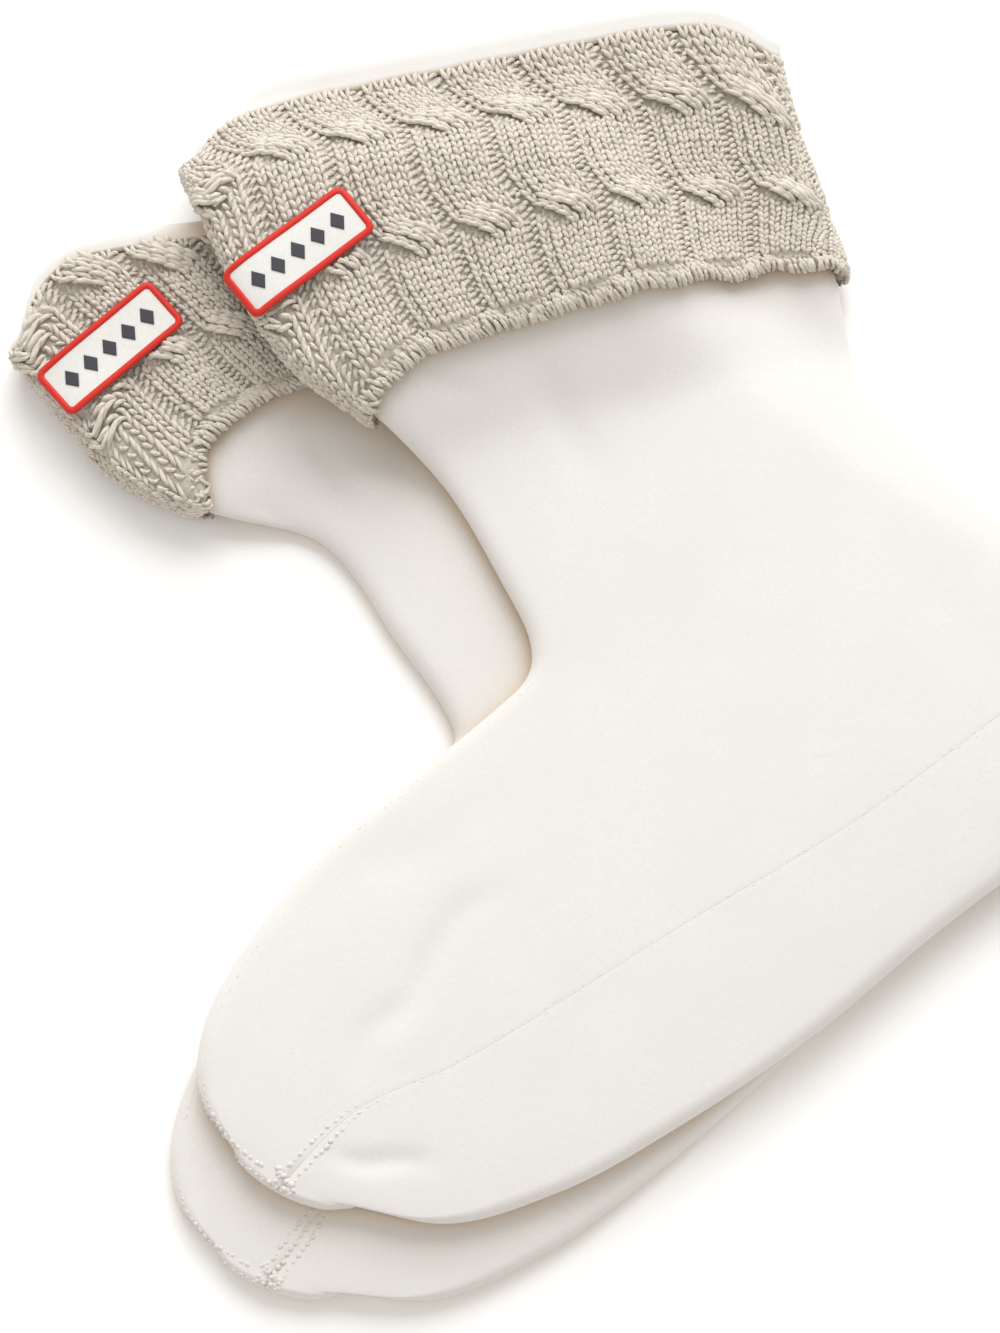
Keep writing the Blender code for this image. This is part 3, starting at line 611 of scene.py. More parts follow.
def fleece_look(colour):
    """Soft, closely sheared microfleece, with warm shade painted into its folds."""
    look = Look("cream_fleece", Roughness=0.95, Sheen_Weight=0.35, Sheen_Roughness=0.6, Specular_IOR_Level=0.15)
    look.shader.inputs["Sheen Tint"].default_value = (1.0, 0.97, 0.93, 1.0)
    base = look.grained((22.0, 2.0), 0.35, 0.65, shade(colour, 0.975), shade(colour, 1.01))
    nap = look.grained((0.9, 3.0, 0.7), 0.35, 0.65, shade(colour, 0.96), base)
    # painted shade: where the ambient occlusion finds deep folds, creases and the gaps between the pieces, the
    # fleece's colour turns darker and warmer, standing in for the warm shade there
    folds = look.node("ShaderNodeAmbientOcclusion", samples=6, Distance=18 * MM)
    look.colour(look.mixed(look.mapped(folds.outputs["AO"], 0.3, 0.8), shade(colour, *FOLD_SHADE_TINT), nap))
    look.bump(look.noise(2.2, 3.0, 0.6), 0.14, 0.5)
    look.bump(look.noise(0.35, 2.0, 0.6), 0.05, 0.6)
    return look.material


def yarn_look(name, colour, depth):
    """Two-ply yarn, flecked and a little hairy."""
    look = Look(name, Roughness=0.9, Sheen_Weight=0.3, Sheen_Roughness=0.5, Specular_IOR_Level=0.2)
    look.shader.inputs["Sheen Tint"].default_value = (1.0, 0.95, 0.88, 1.0)
    base = look.grained((3.4, 2.0, 0.6), 0.36, 0.64, shade(colour, 0.92), shade(colour, 1.06))
    look.colour(look.grained((0.8, 2.0, 0.7), 0.42, 0.7, base, shade(colour, 1.14)))
    uv = look.node("ShaderNodeUVMap", uv_map="along_the_yarn").outputs["UV"]
    parts = look.node("ShaderNodeSeparateXYZ", {"Vector": uv})
    twist = look.maths("MULTIPLY", parts.outputs["X"], TWIST)
    turns = look.maths("ADD", twist, look.maths("MULTIPLY", parts.outputs["Y"], PLIES))
    look.bump(look.mapped(look.maths("SINE", turns, 0.0), -1.0, 1.0), depth, 0.8)
    look.bump(look.noise(0.3, 2.0, 0.7, 0.6), 0.15, 0.7)
    return look.material


def plain_look(name, colour, sockets, grain, shades, bump):
    """A finish with one grain in its colour, between two shades of it, and one in its relief."""
    look = Look(name, **sockets)
    look.colour(look.grained(*grain, *(shade(colour, factor) for factor in shades)))
    if bump:
        look.bump(look.noise(*bump[0]), *bump[1:])
    return look.material


def backing_look(colour):
    """The back of the knit, seen between its stitches, in darker shades of the yarn's colour: painted shade
    between the stitches.
    """
    sockets = {"Roughness": 1.0, "Specular_IOR_Level": 0.1}
    relief = ((0.8, 3.0, 0.6), 0.4, 0.8)
    # painted shade: the backing's colour is 0.75 to 0.92 of the yarn's, for the shade between the stitches
    return plain_look("knit_backing", colour, sockets, ((1.5, 3.0, 0.6), 0.35, 0.65), (0.75, 0.92), relief)


def thread_look(colour):
    """Fine sewing thread."""
    sockets = {"Roughness": 0.7, "Sheen_Weight": 0.2, "Specular_IOR_Level": 0.3}
    relief = ((0.2, 2.0), 0.06, 0.6)
    return plain_look("sewing_thread", colour, sockets, ((0.25, 2.0), 0.35, 0.65), (0.85, 1.0), relief)


def patch_look(name, colour):
    """The patch's closely woven, coated face."""
    sockets = {"Roughness": 0.5, "Specular_IOR_Level": 0.25}
    relief = ((0.4, 3.0, 0.6), 0.025, 0.6)
    return plain_look(name, colour, sockets, ((1.2, 3.0, 0.6), 0.35, 0.65), (0.96, 1.02), relief)


def floor_look(colour):
    """A plain pale floor."""
    sockets = {"Roughness": 0.8, "Specular_IOR_Level": 0.1}
    return plain_look("white_floor", colour, sockets, ((30.0, 2.0), 0.3, 0.7), (0.99, 1.0), None)


# Fleece
FRONT_COLUMNS = np.array([0.0, 0.9, 1.9, 3.0, 4.3, 6.0])  # distances from the front fold
SEAM_COLUMNS = np.array([3.6, 2.4, 1.6, 1.0, 0.55, 0.2, 0.0])  # distances from the seam
FRONT_CROWDING, SEAM_CROWDING = 18.0, 12.0  # widths of a piece below which those columns close up
UPPER_COLUMNS, SOLE_COLUMNS = 52, 32
TOE_ANGLES = (90, 78, 66, 54, 42, 30, 18, 8)  # degrees at which the toe's round has a row
ROW_STEP = 1.7
HIDDEN_ROWS, EDGE_ROWS, RIM_TURNS, INSIDE_ROWS = 16, 4, 13, 64
INSIDE_END, INSIDE_REACH = 3.0, 1.4  # where the hollow ends before the toe, and the reach of its round
SEAM_GAP = 0.005  # between the upper and the sole, half of it on either side
REACHES_SEAM = 0.9999
SIDE_VALLEY, TOE_VALLEY = 0.05, 0.45  # depth of the seam along the foot, and what the toe adds
TOE_VALLEY_START, TOE_VALLEY_RUN = 36, 26  # from the toe's end, where the seam starts to deepen


def fleece_rows(sock):
    """Rows from the toe up the outside, over the turned edge and down the inside to the toe."""

    def toe_round(down, out, angles, reach):
        turns = [math.radians(angle) for angle in angles]
        return [(down, out, math.cos(turn), math.sin(turn) * reach, 0) for turn in turns]

    def straight(downs, out, over):
        return [(down, out, 1.0, 0.0, over) for down in downs]

    rows = toe_round(sock.length, 0.0, TOE_ANGLES, TOE_REACH)
    rows += straight(np.linspace(sock.length, sock.hem + 1.0, int((sock.length - sock.hem) / ROW_STEP)), 0.0, 0)
    rows += straight(np.linspace(sock.hem - 3.0, SLIT_DEPTH, HIDDEN_ROWS), 0.0, 0)
    rows += straight((SLIT_DEPTH, (SLIT_DEPTH + sock.rim) / 2, sock.rim - 0.2), LOOSE, 1)
    outer, inner = LOOSE + KNIT, -FLEECE
    middle, radius = (outer + inner) / 2, (outer - inner) / 2
    rows += straight((sock.rim,), outer - 1.0, 1)
    rows += straight(np.linspace(sock.rim - 0.7, radius + 0.3, EDGE_ROWS), outer, 1)
    for angle in np.linspace(0, 180, RIM_TURNS):
        turn = math.radians(angle)
        rows += straight((radius * (1 - math.sin(turn)),), middle + radius * math.cos(turn), 1)
    rows += straight(np.linspace(radius + 2.0, sock.length - INSIDE_END, INSIDE_ROWS), inner, 0)
    rows += toe_round(sock.length - INSIDE_END, inner, (30, 60, 90), INSIDE_REACH)
    return np.array(rows)


def groove(distance, strength):
    """Depth of the seam's valley, with a low bank beside it, at a distance from its middle."""
    bank = 0.25 * strength * np.exp(-(((distance - 2.2) / 1.0) ** 2))
    return -strength * np.exp(-((distance / 0.9) ** 2)) + bank


def spread(sock, rows, sewn, reach, columns, fold):
    """Points of a piece that reaches as far, in sides of the tube, to both sides of one of the folds."""
    down, out, squeeze, forward = rows[:, :4].T
    side = sock.side(down, out)
    reach = reach * side
    front = np.minimum(FRONT_COLUMNS[None, :], reach[:, None] * FRONT_COLUMNS / FRONT_CROWDING)
    close = np.minimum(SEAM_COLUMNS[None, :], reach[:, None] * SEAM_COLUMNS / SEAM_CROWDING)
    share = np.linspace(0.0, 1.0, columns)[None, 1:-1]
    middle = front[:, -1:] + (reach[:, None] - close[:, :1] - front[:, -1:]) * share
    half = np.concatenate([front, middle, reach[:, None] - close], axis=1)
    places = np.concatenate([-half[:, :0:-1], half], axis=1)
    valley = SIDE_VALLEY + TOE_VALLEY * smoothstep((down - sock.length + TOE_VALLEY_START) / TOE_VALLEY_RUN)
    strength = np.where(sewn & (out == 0.0), valley, 0.0) * squeeze
    raised = groove(reach[:, None] - np.abs(places), strength[:, None])
    around = fold + places / side[:, None]
    return sock.tube(down[:, None], around, out[:, None], squeeze[:, None], forward[:, None], raised)


def edge_walls(rows, sewn, count, turn):
    """Triangles between the outer and the inner rows along both edges of a piece."""
    outside = [k for k in range(turn) if sewn[k]]
    inside = [k for k in range(turn, len(rows)) if sewn[k]][::-1]
    toe = rows[:, 0] + rows[:, 3]
    faces = []
    for column in (0, count - 1):
        i = j = 0
        while i < len(outside) - 1 or j < len(inside) - 1:
            a, b = outside[i], inside[j]
            more = i < len(outside) - 1
            if j == len(inside) - 1 or (more and toe[outside[i + 1]] >= toe[inside[j + 1]]):
                i += 1
                following = outside[i]
            else:
                j += 1
                following = inside[j]
            face = tuple(row * count + column for row in (a, following, b))
            faces.append(face[::-1] if column else face)
    return np.array(faces)


def add_upper(sock, material):
    """Leg and instep in one piece, from seam to seam across the front fold, closed all round."""
    rows = fleece_rows(sock)
    seam = sock.seam_place(*rows[:, :4].T)
    sewn = seam < REACHES_SEAM
    gap = np.where(sewn, SEAM_GAP, 0.0) / sock.side(rows[:, 0], rows[:, 1])
    shaped = spread(sock, rows, sewn, np.clip(seam - gap, 0.02, 1.0), UPPER_COLUMNS, 0)
    count = shaped.shape[1]
    over = np.flatnonzero(rows[:, 4] > 0)
    turn = int(over[np.argmin(np.abs(rows[over, 0]))])  # the top of the turned edge
    faces = [grid_faces(len(rows), count)[:, ::-1], edge_walls(rows, sewn, count, turn)]
    return add_mesh(sock.name + "_upper_fleece", shaped.reshape(-1, 3), faces, material, weld=True, smooth=1)


def add_sole(sock, material):
    """The sole piece, from seam to seam across the back fold."""
    rows = fleece_rows(sock)
    seam = sock.seam_place(*rows[:, :4].T)
    reached = seam < REACHES_SEAM
    reached |= np.roll(reached, 1) | np.roll(reached, -1)  # with a row at each end where it comes to a point
    rows, seam = rows[reached], seam[reached]
    reach = np.clip(1 - seam - SEAM_GAP / sock.side(rows[:, 0], rows[:, 1]), 0.0, 1.0)
    sewn = np.ones(len(rows), bool)
    shaped = spread(sock, rows, sewn, reach, SOLE_COLUMNS, 1)
    count = shaped.shape[1]
    turn = int(np.argmax(rows[:, 1] < 0))  # the first row inside
    faces = [grid_faces(turn, count)[:, ::-1], grid_faces(len(rows) - turn, count, turn * count)[:, ::-1]]
    faces += [edge_walls(rows, sewn, count, turn), grid_faces(2, count, (turn - 1) * count)[:, ::-1]]
    return add_mesh(sock.name + "_sole_fleece", shaped.reshape(-1, 3), faces, material, weld=True, smooth=2)


# Seams
BEAD_POINTS, BEAD_SIDES = 5, 5
TRACK_POINTS = 500
SEAM_PART = 0.56  # of the sock's length, along which the seams are followed from the toe
PRESSED = 0.15  # height of the beads underneath, as a part of what they have on the near side


def arch(t, margin, power):
    """A bow over a path, from a little above zero at both its ends to one in the middle."""
    return np.sin(np.pi * np.clip(t, margin, 1 - margin)) ** power


def seam_beads(sock, rng):
    """The overlocked seams, puckered into beads: close and plump at the toe, faint along the sides."""
    t = np.linspace(0.0, 1.0, BEAD_POINTS)
    round_off = arch(t, 0.04, 0.7)
    beads = []

    def track(place_of):
        """A line on the sock from the toe: distance along it, distance down and place round."""
        down = sock.length - np.linspace(0.0, SEAM_PART * sock.length, TRACK_POINTS)
        width = sock.side(down, 0.0)
        place = place_of(down) * width
        plan = sock.tube(down, place / width, flat=True)
        return np.concatenate([[0.0], np.cumsum(np.hypot(*np.diff(plan, axis=0).T))]), down, place

    def bead(line, along, offset, radius, length, height, side=1, angle=0.0):
        """A bead beside a line, or round the toe's end if it has an angle."""
        jitter = np.clip(rng.normal(0.0, 1.0, 5), -1.6, 1.6)
        radius *= 1 + 0.15 * jitter[0]
        run = (t - 0.5) * length * (1 + 0.2 * jitter[1])
        at = np.zeros(BEAD_POINTS) if angle else along + 0.25 * jitter[3] + run
        down, place = np.interp(at, line[0], line[1]), np.interp(at, line[0], line[2])
        around = side * (place + offset + 0.2 * jitter[2] + (run if angle else 0.0)) / sock.side(down, 0.0)
        squeeze, forward = math.cos(math.radians(angle)), math.sin(math.radians(angle)) * TOE_REACH
        stands = height * (1 + 0.2 * jitter[4]) * (1.0 if side > 0 else PRESSED)
        raised = stands - radius * (1.7 - 0.7 * round_off)
        beads.append(np.array([down, around, squeeze + 0 * t, forward + 0 * t, raised, radius * round_off]))

    seam = track(lambda down: sock.seam_place(down, 0 * down, 0 * down + 1, 0 * down))
    fold = track(lambda down: 0 * down)
    # the bottom sock's seam is broader, with a third row at the toe
    rows, broad = (3, 1.7) if sock.name == "bottom_sock" else (2, 1.0)
    along = 0.5
    while along < seam[0][-1]:
        plump = float(1 - smoothstep((along - 12.0) / 24.0))
        for side in (1, -1):
            for row in np.linspace(-1, 1, rows if along < 20 else 2):
                if plump > 0.05 or rng.random() < 0.6:
                    offset = row * (0.9 + broad * plump)
                    radius, height = 0.22 + 0.62 * plump, 0.1 + 0.4 * plump
                    bead(seam, along + 0.5 * row, offset, radius, 1.8, height, side)
        along += 2.6 - 0.7 * plump
    for offset in np.arange(0.8, seam[2][0] - 3.0, 1.9):  # round the toe's end
        for side in (1, -1):
            bead(fold, 0.0, offset, 0.75, 1.5, 0.4, side, 30.0 + 14.0 * rng.random())
            bead(fold, 2.4 + rng.random(), offset + 0.7, 0.85, 1.7, 0.42, side)
    for along in np.arange(1.0, 24.0, 1.9):  # up the front of the toe
        plump = 1 - 0.8 * float(smoothstep((along - 8.0) / 16.0))
        bead(fold, along, 3.8 + 0.5 * rng.random(), 0.82 * plump, 1.7, 0.42 * plump)
        bead(fold, along + 0.9, 0.7, 0.75 * plump, 1.6, 0.38 * plump)
    for k in range(18):  # the knot where the seams meet
        offset = 4.2 * (2 * ((k * 0.618) % 1.0) - 1)
        bead(seam, 3.6 * ((k * 0.377) % 1.0), offset, 0.95, 1.8, 0.65, -1 if k % 4 == 0 else 1)
        if k % 2:
            bead(seam, 0.0, offset, 0.75, 1.5, 0.6, 1, 12.0 + 2.0 * k)
    for along in np.arange(34.0, fold[0][-1], 2.2):  # the front seam, faint just inside the fold
        if rng.random() < 0.6:
            bead(fold, along, 4.8, 0.2, 1.2, 0.07)
    down, around, squeeze, forward, raised, radii = np.array(beads).transpose(1, 0, 2)
    here = sock.tube(down, around, 0.0, squeeze, forward, raised)
    above = sock.tube(down, around, 0.0, squeeze, forward, raised + 0.5)
    return swept(here, unit(above - here), radii, BEAD_SIDES)


# Knit
def phase(sock, row):
    """Where the purl columns lie, in stitches, as the fabric leans and is drawn in."""
    return np.interp(row, sock.cable_knit.phase_rows, sock.cable_knit.phases)


def knit_down(sock, row):
    """Distance down the sock of a row of knitting."""
    return sock.knit + (sock.hem - HEM_LENGTH - sock.knit) * np.asarray(row) / sock.cable_knit.rows


def nearness(position):
    """One over the near side, less at the folds, where the knit is pulled flat, and zero on the far side."""
    position = np.mod(position + STITCHES / 2, 2 * STITCHES) - STITCHES / 2
    past = np.maximum(np.maximum(-position, position - STITCHES), 0.0)
    fold = np.minimum(np.abs(position), np.abs(position - STITCHES))
    return (1 - smoothstep(past / 4.0)) * (1 - 0.55 * np.exp(-((fold / 3.0) ** 2)))


def cable_dome(across):
    """Relief of a cable over the purl ground, at stitches from the middle of the purl column."""
    x = (np.mod(across, REPEAT) - REPEAT / 2) / CABLE_HALF
    return CABLE_HEIGHT * np.clip(1 - np.abs(x) ** 3, 0.0, 1.0)


def strand_places(sock, strand, row):
    """Offset of one of a cable's strands at a row, and how far it stands in front."""
    lift = np.zeros_like(row)
    right = strand >= 3
    share = np.full_like(row, 1.0 if right else 0.0)
    for crossing in sock.cable_knit.crossings:
        # the stitch on the side that the strand turns to goes first
        late = (strand % 3 - 1) * STAGGER
        centre = crossing + (late if right else -late)
        t = (row - centre + CROSSING_ROWS / 2) / CROSSING_ROWS
        t = 0.5 * smoothstep(t) + 0.5 * np.clip(t, 0.0, 1.0)
        share = share + (t if not right else -t)
        bell = np.exp(-(((row - centre) / CROSSING_BELL) ** 2))
        front = CROSSING_HEIGHT + (MIDDLE_HEIGHT if strand % 3 == 1 else 0.0)
        lift = lift + (front if not right else -CROSSING_DEPTH) * bell
        right = not right
    return strand % 3 + 3 * share, lift


def yarn_paths(sock, down, around, raised):
    """Points and outward directions of yarns on the knit, which is pressed flat under the patch."""
    x0, y0, turn = PATCH_PLACES[sock.name]
    plan = sock.tube(down, around, KNIT + LOOSE, flat=True)
    away = np.abs(turned(plan.reshape(-1, 2) - (x0, y0), (0.0, 0.0), -turn))
    away = away / (np.array(PATCH_SIZE) / 2 + PRESSED_BESIDE)
    covered = (away.max(axis=1) < 1).reshape(plan.shape[:-1]) & (np.mod(around, 2) < 1)
    raised = np.where(covered, np.minimum(raised, PRESSED_HEIGHT), raised)
    here = sock.tube(down, around, KNIT + LOOSE, raised=raised)
    return here, unit(sock.tube(down, around, KNIT + LOOSE, raised=raised + 0.5) - here)


class Yarns:
    """Yarns of one side of a cuff, gathered as paths that have a point for each of t."""

    def __init__(self, sock, rng, near, sides, steps):
        self.sock, self.rng, self.near, self.sides = sock, rng, near, sides
        self.t = np.linspace(0.0, 1.0, steps)
        self.paths = []

    def skips(self, place):
        """Whether a place, in stitches round the cuff, is on the other side."""
        return (float(np.mod(place, 2 * STITCHES)) <= STITCHES) != self.near

    def add(self, down, place, raised, radius):
        self.paths.append(np.array([down, place / STITCHES, raised, radius]))

    def swept(self):
        down, around, raised, radii = np.array(self.paths).transpose(1, 0, 2)
        return swept(*yarn_paths(self.sock, down, around, raised), radii, self.sides)


def knit_stitches(radius, *side):
    """The legs of the knit stitches on one side of the cuff, in yarn of a radius."""
    yarns = Yarns(*side)
    sock, rng, t = yarns.sock, yarns.rng, yarns.t
    shape = 0.9 * arch(t, 0.02, 0.9) - 0.5
    apart = 0.05 + 0.38 * (1 - t) ** 0.8  # the legs of a stitch part upwards
    taper = 0.42 + 0.58 * arch(t, 0.05, 0.7)
    for cable in range(CABLES):
        for strand in range(STRANDS):
            for row in np.arange(FIRST_ROW, sock.cable_knit.rows, 1.0):
                path = row + (t - 0.5) * STITCH_ROWS
                offset, lift = strand_places(sock, strand, path)
                centre = phase(sock, path) + REPEAT * cable + 4.0 + WALE_SPREAD * (offset - 2.5)
                if yarns.skips(centre[len(t) // 2]):
                    continue
                # no two stitches are quite alike in place, height and thickness
                jitter = np.clip(rng.normal(0.0, 1.0, 8), -UNEVENNESS, UNEVENNESS)
                weight = nearness(centre)
                stands = weight * (cable_dome(centre - phase(sock, path)) + lift)
                base = stands - KNIT_SINK - KNIT_FAR_SINK * (1 - weight)
                slope = np.gradient(centre, path) * STITCH_SHAPE
                square = 1 / np.hypot(1, slope), -STITCH_SHAPE * slope / np.hypot(1, slope)
                for hand in (-1, 1):
                    own = jitter[3 + (hand > 0)], jitter[5 + (hand > 0)]
                    row_of = path + hand * apart * square[1]
                    lean = 0.05 * jitter[1] + 0.05 * own[0] * (t - 0.5)
                    thick = radius * (1 + 0.08 * jitter[7] + 0.05 * own[1]) * np.hypot(1, slope) ** 0.3
                    yarns.add(
                        knit_down(sock, row_of + 0.07 * jitter[0] + 0.05 * own[1]),
                        centre + hand * apart * square[0] + lean,
                        base + shape + 0.1 * own[0],
                        thick * taper,
                    )
    return yarns.swept()


def purl_stitches(radius, *side):
    """The bars of the purl columns on one side of the cuff."""
    yarns = Yarns(*side)
    sock, rng, t = yarns.sock, yarns.rng, yarns.t
    shape, taper = 0.7 * arch(t, 0.02, 0.8), 0.5 + 0.5 * arch(t, 0.05, 0.6)
    for cable in range(CABLES):
        for column in PURL_COLUMNS:
            for row in np.arange(FIRST_ROW, sock.cable_knit.rows, 1.0):
                jitter = rng.normal(0.0, 1.0, 4)
                centre = phase(sock, row) + REPEAT * cable + column
                if yarns.skips(centre):
                    continue
                bow = 0.22 * (1 - 4 * (t - 0.5) ** 2) + 0.5 * (t - 0.5) * (1 + 0.3 * jitter[3])
                weight = nearness(np.array([centre]))[0]
                yarns.add(
                    knit_down(sock, row + 0.4 * (column > 0) - bow + 0.08 * jitter[0]),
                    centre + (t - 0.5) * PURL_WIDTH + 0.05 * jitter[1],
                    -PURL_SINK - PURL_FAR_SINK * (1 - weight) + shape + 0.12 * jitter[2],
                    radius * (1 + 0.08 * jitter[3]) * taper,
                )
    return yarns.swept()


def hem_wave(place):
    """How far the hem hangs lower or higher at places counted in stitches from a purl column."""
    return 0.8 * np.cos(2 * np.pi * (place - 4.0) / REPEAT) + 0.5 * np.sin(0.83 * place + 1.0)


def hem_stitches(radius, *side):
    """The rolled hem: short turns of yarn over the roll, side by side and uneven."""
    yarns = Yarns(*side)
    sock, rng, t = yarns.sock, yarns.rng, yarns.t
    hem, start = knit_down(sock, sock.cable_knit.rows), phase(sock, sock.cable_knit.rows)
    taper = 0.5 + 0.5 * arch(t, 0.05, 0.6)
    for top, size, bead in HEM_TURNS:
        for place in np.arange(0.0, 2 * STITCHES, 0.5):
            centre = place + start + 0.25 * (top > 0)
            if yarns.skips(centre):
                continue
            jitter = np.clip(rng.normal(0.0, 1.0, 5), -UNEVENNESS, UNEVENNESS)
            weight = nearness(np.array([centre]))[0]
            bulge = 1 + 0.2 * math.cos(2 * math.pi * place / REPEAT) + 0.15 * math.sin(1.7 * place)
            run, rise, bow = t, bead, 0.6 * arch(t, 0.02, 0.9)
            if top == LAST_TURN:
                run, rise, bow = np.sin(2.0 * t), (bead + 0.6) * np.cos(2.0 * t), 0.0
            sag = hem_wave(place) * min(max((top + 1.5) / 3.0, 0.0), 1.0)  # more towards the edge
            yarns.add(
                hem + top + sag + size * (1 + 0.08 * jitter[4]) * run + 0.2 * jitter[0],
                centre + (t - 0.5) * (0.3 + 0.3 * jitter[3]) + 0.14 * jitter[1],
                weight * rise * bulge - HEM_SINK - HEM_FAR_SINK * (1 - weight) + bow + 0.12 * jitter[2],
                radius * (1 + 0.14 * jitter[4]) * taper,
            )
    return yarns.swept()


def stray_fibres(sock, rng, count, radius):
    """Fine fibres that stand off the knit's near side and its hem."""
    t, rows = np.linspace(0.0, 1.0, 4), sock.cable_knit.rows
    at_hem = rng.random(count) < 0.35
    row = np.where(at_hem, rows + rng.uniform(0.6, 2.2, count), rng.uniform(0.5, rows, count))
    place = rng.uniform(1.0, STITCHES - 1.0, count)
    length = rng.uniform(1.0, 3.2, count)
    heading, curl = rng.uniform(0.0, 2 * np.pi, count), rng.normal(0.0, 1.2, count)
    angle = heading[:, None] + curl[:, None] * t
    down = knit_down(sock, row)[:, None] + length[:, None] * t * np.cos(angle)
    around = (place[:, None] + length[:, None] * t * np.sin(angle) / 2.7) / STITCHES
    dome = cable_dome(place - phase(sock, row)) * ~at_hem
    raised = (dome + 0.1)[:, None] + rng.uniform(0.3, 1.1, count)[:, None] * np.sin(2.2 * t)
    return swept(*yarn_paths(sock, down, around, raised), np.full(down.shape, radius), 3)


BACKING_ROWS, BACKING_INSIDE = 48, 16
BACKING_HEM = ((1.0, 0.6), (2.2, 1.1), (3.4, 1.0), (4.4, 0.5), (4.9, -0.4))  # distance below the knit, height


def add_cuff_backing(sock, material):
    """The knit's own shell, just under the stitches, with the cables' relief."""
    last = sock.cable_knit.rows
    stitches = np.arange(0, 2 * STITCHES, 1.0)
    rows = []
    for row in np.linspace(0.0, last, BACKING_ROWS):
        centre = stitches + phase(sock, row)
        raised = nearness(centre) * cable_dome(stitches) - 1.0
        rows.append(sock.tube(knit_down(sock, row), centre / STITCHES, KNIT + LOOSE, raised=raised))
    centre = stitches + phase(sock, last)
    for below, bead in BACKING_HEM:
        raised = nearness(centre) * bead - 0.6
        sag = hem_wave(stitches) * min(below / 2.0, 1.0) - 0.2
        down = knit_down(sock, last) + below + sag
        rows.append(sock.tube(down, centre / STITCHES, KNIT + LOOSE, raised=raised))
    for row in np.linspace(last + 1.2, 0.0, BACKING_INSIDE):
        around = (stitches + phase(sock, min(row, last))) / STITCHES
        rows.append(sock.tube(knit_down(sock, row), around, LOOSE + 0.1))
    rows.append(rows[0])
    faces = [grid_faces(len(rows), len(stitches), closed=True)]
    return add_mesh(sock.name + "_cuff_backing", np.array(rows).reshape(-1, 3), faces, material, weld=True)


# Patches
PATCH_SIZE = (40.0, 16.0)
PATCH_INSET = 0.7  # of the plate, which ends under the border
PATCH_CORNER, PATCH_CORNER_RADIUS = 12, 2.4  # exponent of the plate's outline; radius of the border's
PATCH_COLUMNS, PATCH_ROWS = 41, 17
PATCH_PLACES = {"top_sock": (-52.9, 103.2, 38.0), "bottom_sock": (-104.0, 82.8, 41.0)}
# inset and height of each line round the border
BORDER_LINES = ((0.05, 0.5), (0.0, 1.15), (0.3, 1.6), (0.9, 1.75), (1.5, 1.6), (1.8, 1.2), (1.8, 1.0))
BORDER_POINTS, CORNER_STEPS = 96, 10
DIAMONDS, DIAMOND_STEP = 5, 6.5
DIAMOND = ((2.2, 0.0), (1.1, 1.5), (0.0, 3.0), (-1.1, 1.5), (-2.2, 0.0), (-1.1, -1.5), (0.0, -3.0), (1.1, -1.5))
DIAMOND_LINES = ((1.0, 1.1), (1.0, 1.4), (0.86, 1.5))  # scale, height


def patch_outline(inset):
    """Points at even distances round the patch, at an inset from its edge."""
    radius = max(PATCH_CORNER_RADIUS - inset, 0.4)
    points = []
    for quarter, (sx, sy) in enumerate(((1, 1), (-1, 1), (-1, -1), (1, -1))):
        cx, cy = (sign * ((size - 2 * inset) / 2 - radius) for sign, size in zip((sx, sy), PATCH_SIZE))
        for k in range(CORNER_STEPS + 1):
            angle = math.pi / 2 * (quarter + k / CORNER_STEPS)
            points.append((cx + radius * math.cos(angle), cy + radius * math.sin(angle)))
    closed = np.array(points + points[:1])
    steps = np.concatenate([[0.0], np.cumsum(np.hypot(*np.diff(closed, axis=0).T))])
    at = np.linspace(0.0, steps[-1], BORDER_POINTS, endpoint=False)
    return np.column_stack([np.interp(at, steps, axis) for axis in closed.T])


def on_patch(sock_name, field, plan, height):
    """Places points of the patch's own plan on the cuff."""
    x0, y0, turn = PATCH_PLACES[sock_name]
    x, y = (turned(plan, (0.0, 0.0), turn) + (x0, y0) - PAIR_CENTRE).T
    return np.column_stack([x, y, field(x, y) + height])


def add_patch_face(sock_name, field, material, thickness):
    """The patch's plate, a grid with round corners, closed by its skirt and its underside."""
    half = [size / 2 - PATCH_INSET for size in PATCH_SIZE]
    wide, tall = PATCH_COLUMNS, PATCH_ROWS
    u, v = (part.ravel() for part in np.meshgrid(np.linspace(-1, 1, wide), np.linspace(-1, 1, tall)))
    square = np.maximum(np.abs(u), np.abs(v))
    round_by = (np.abs(u) ** PATCH_CORNER + np.abs(v) ** PATCH_CORNER) ** (1 / PATCH_CORNER)
    shrink = np.where(square > 0, square / np.where(round_by > 0, round_by, 1.0), 1.0)
    plan = np.column_stack([u * shrink * half[0], v * shrink * half[1]])
    points = [on_patch(sock_name, field, plan, height) for height in (thickness, 0.0)]
    count = len(plan)
    faces = grid_faces(tall, wide)[:, ::-1]
    rim = list(range(wide)) + [row * wide + wide - 1 for row in range(1, tall)]
    rim += [(tall - 1) * wide + column for column in reversed(range(wide - 1))]
    rim += [row * wide for row in reversed(range(1, tall - 1))]
    skirt = [(here + count, there + count, there, here) for here, there in zip(rim, rim[1:] + rim[:1])]
    faces = [faces, faces[:, ::-1] + count, skirt]
    return add_mesh(sock_name + "_patch_plate", np.concatenate(points), faces, material)


def add_patch_border(sock_name, field, material):
    """The raised border that runs round the patch."""
    points = [on_patch(sock_name, field, patch_outline(inset), height) for inset, height in BORDER_LINES]
    points = np.concatenate([*points, points[0]])
    faces = [grid_faces(len(BORDER_LINES) + 1, BORDER_POINTS, closed=True)]
    return add_mesh(sock_name + "_patch_edge", points, faces, material, weld=True)


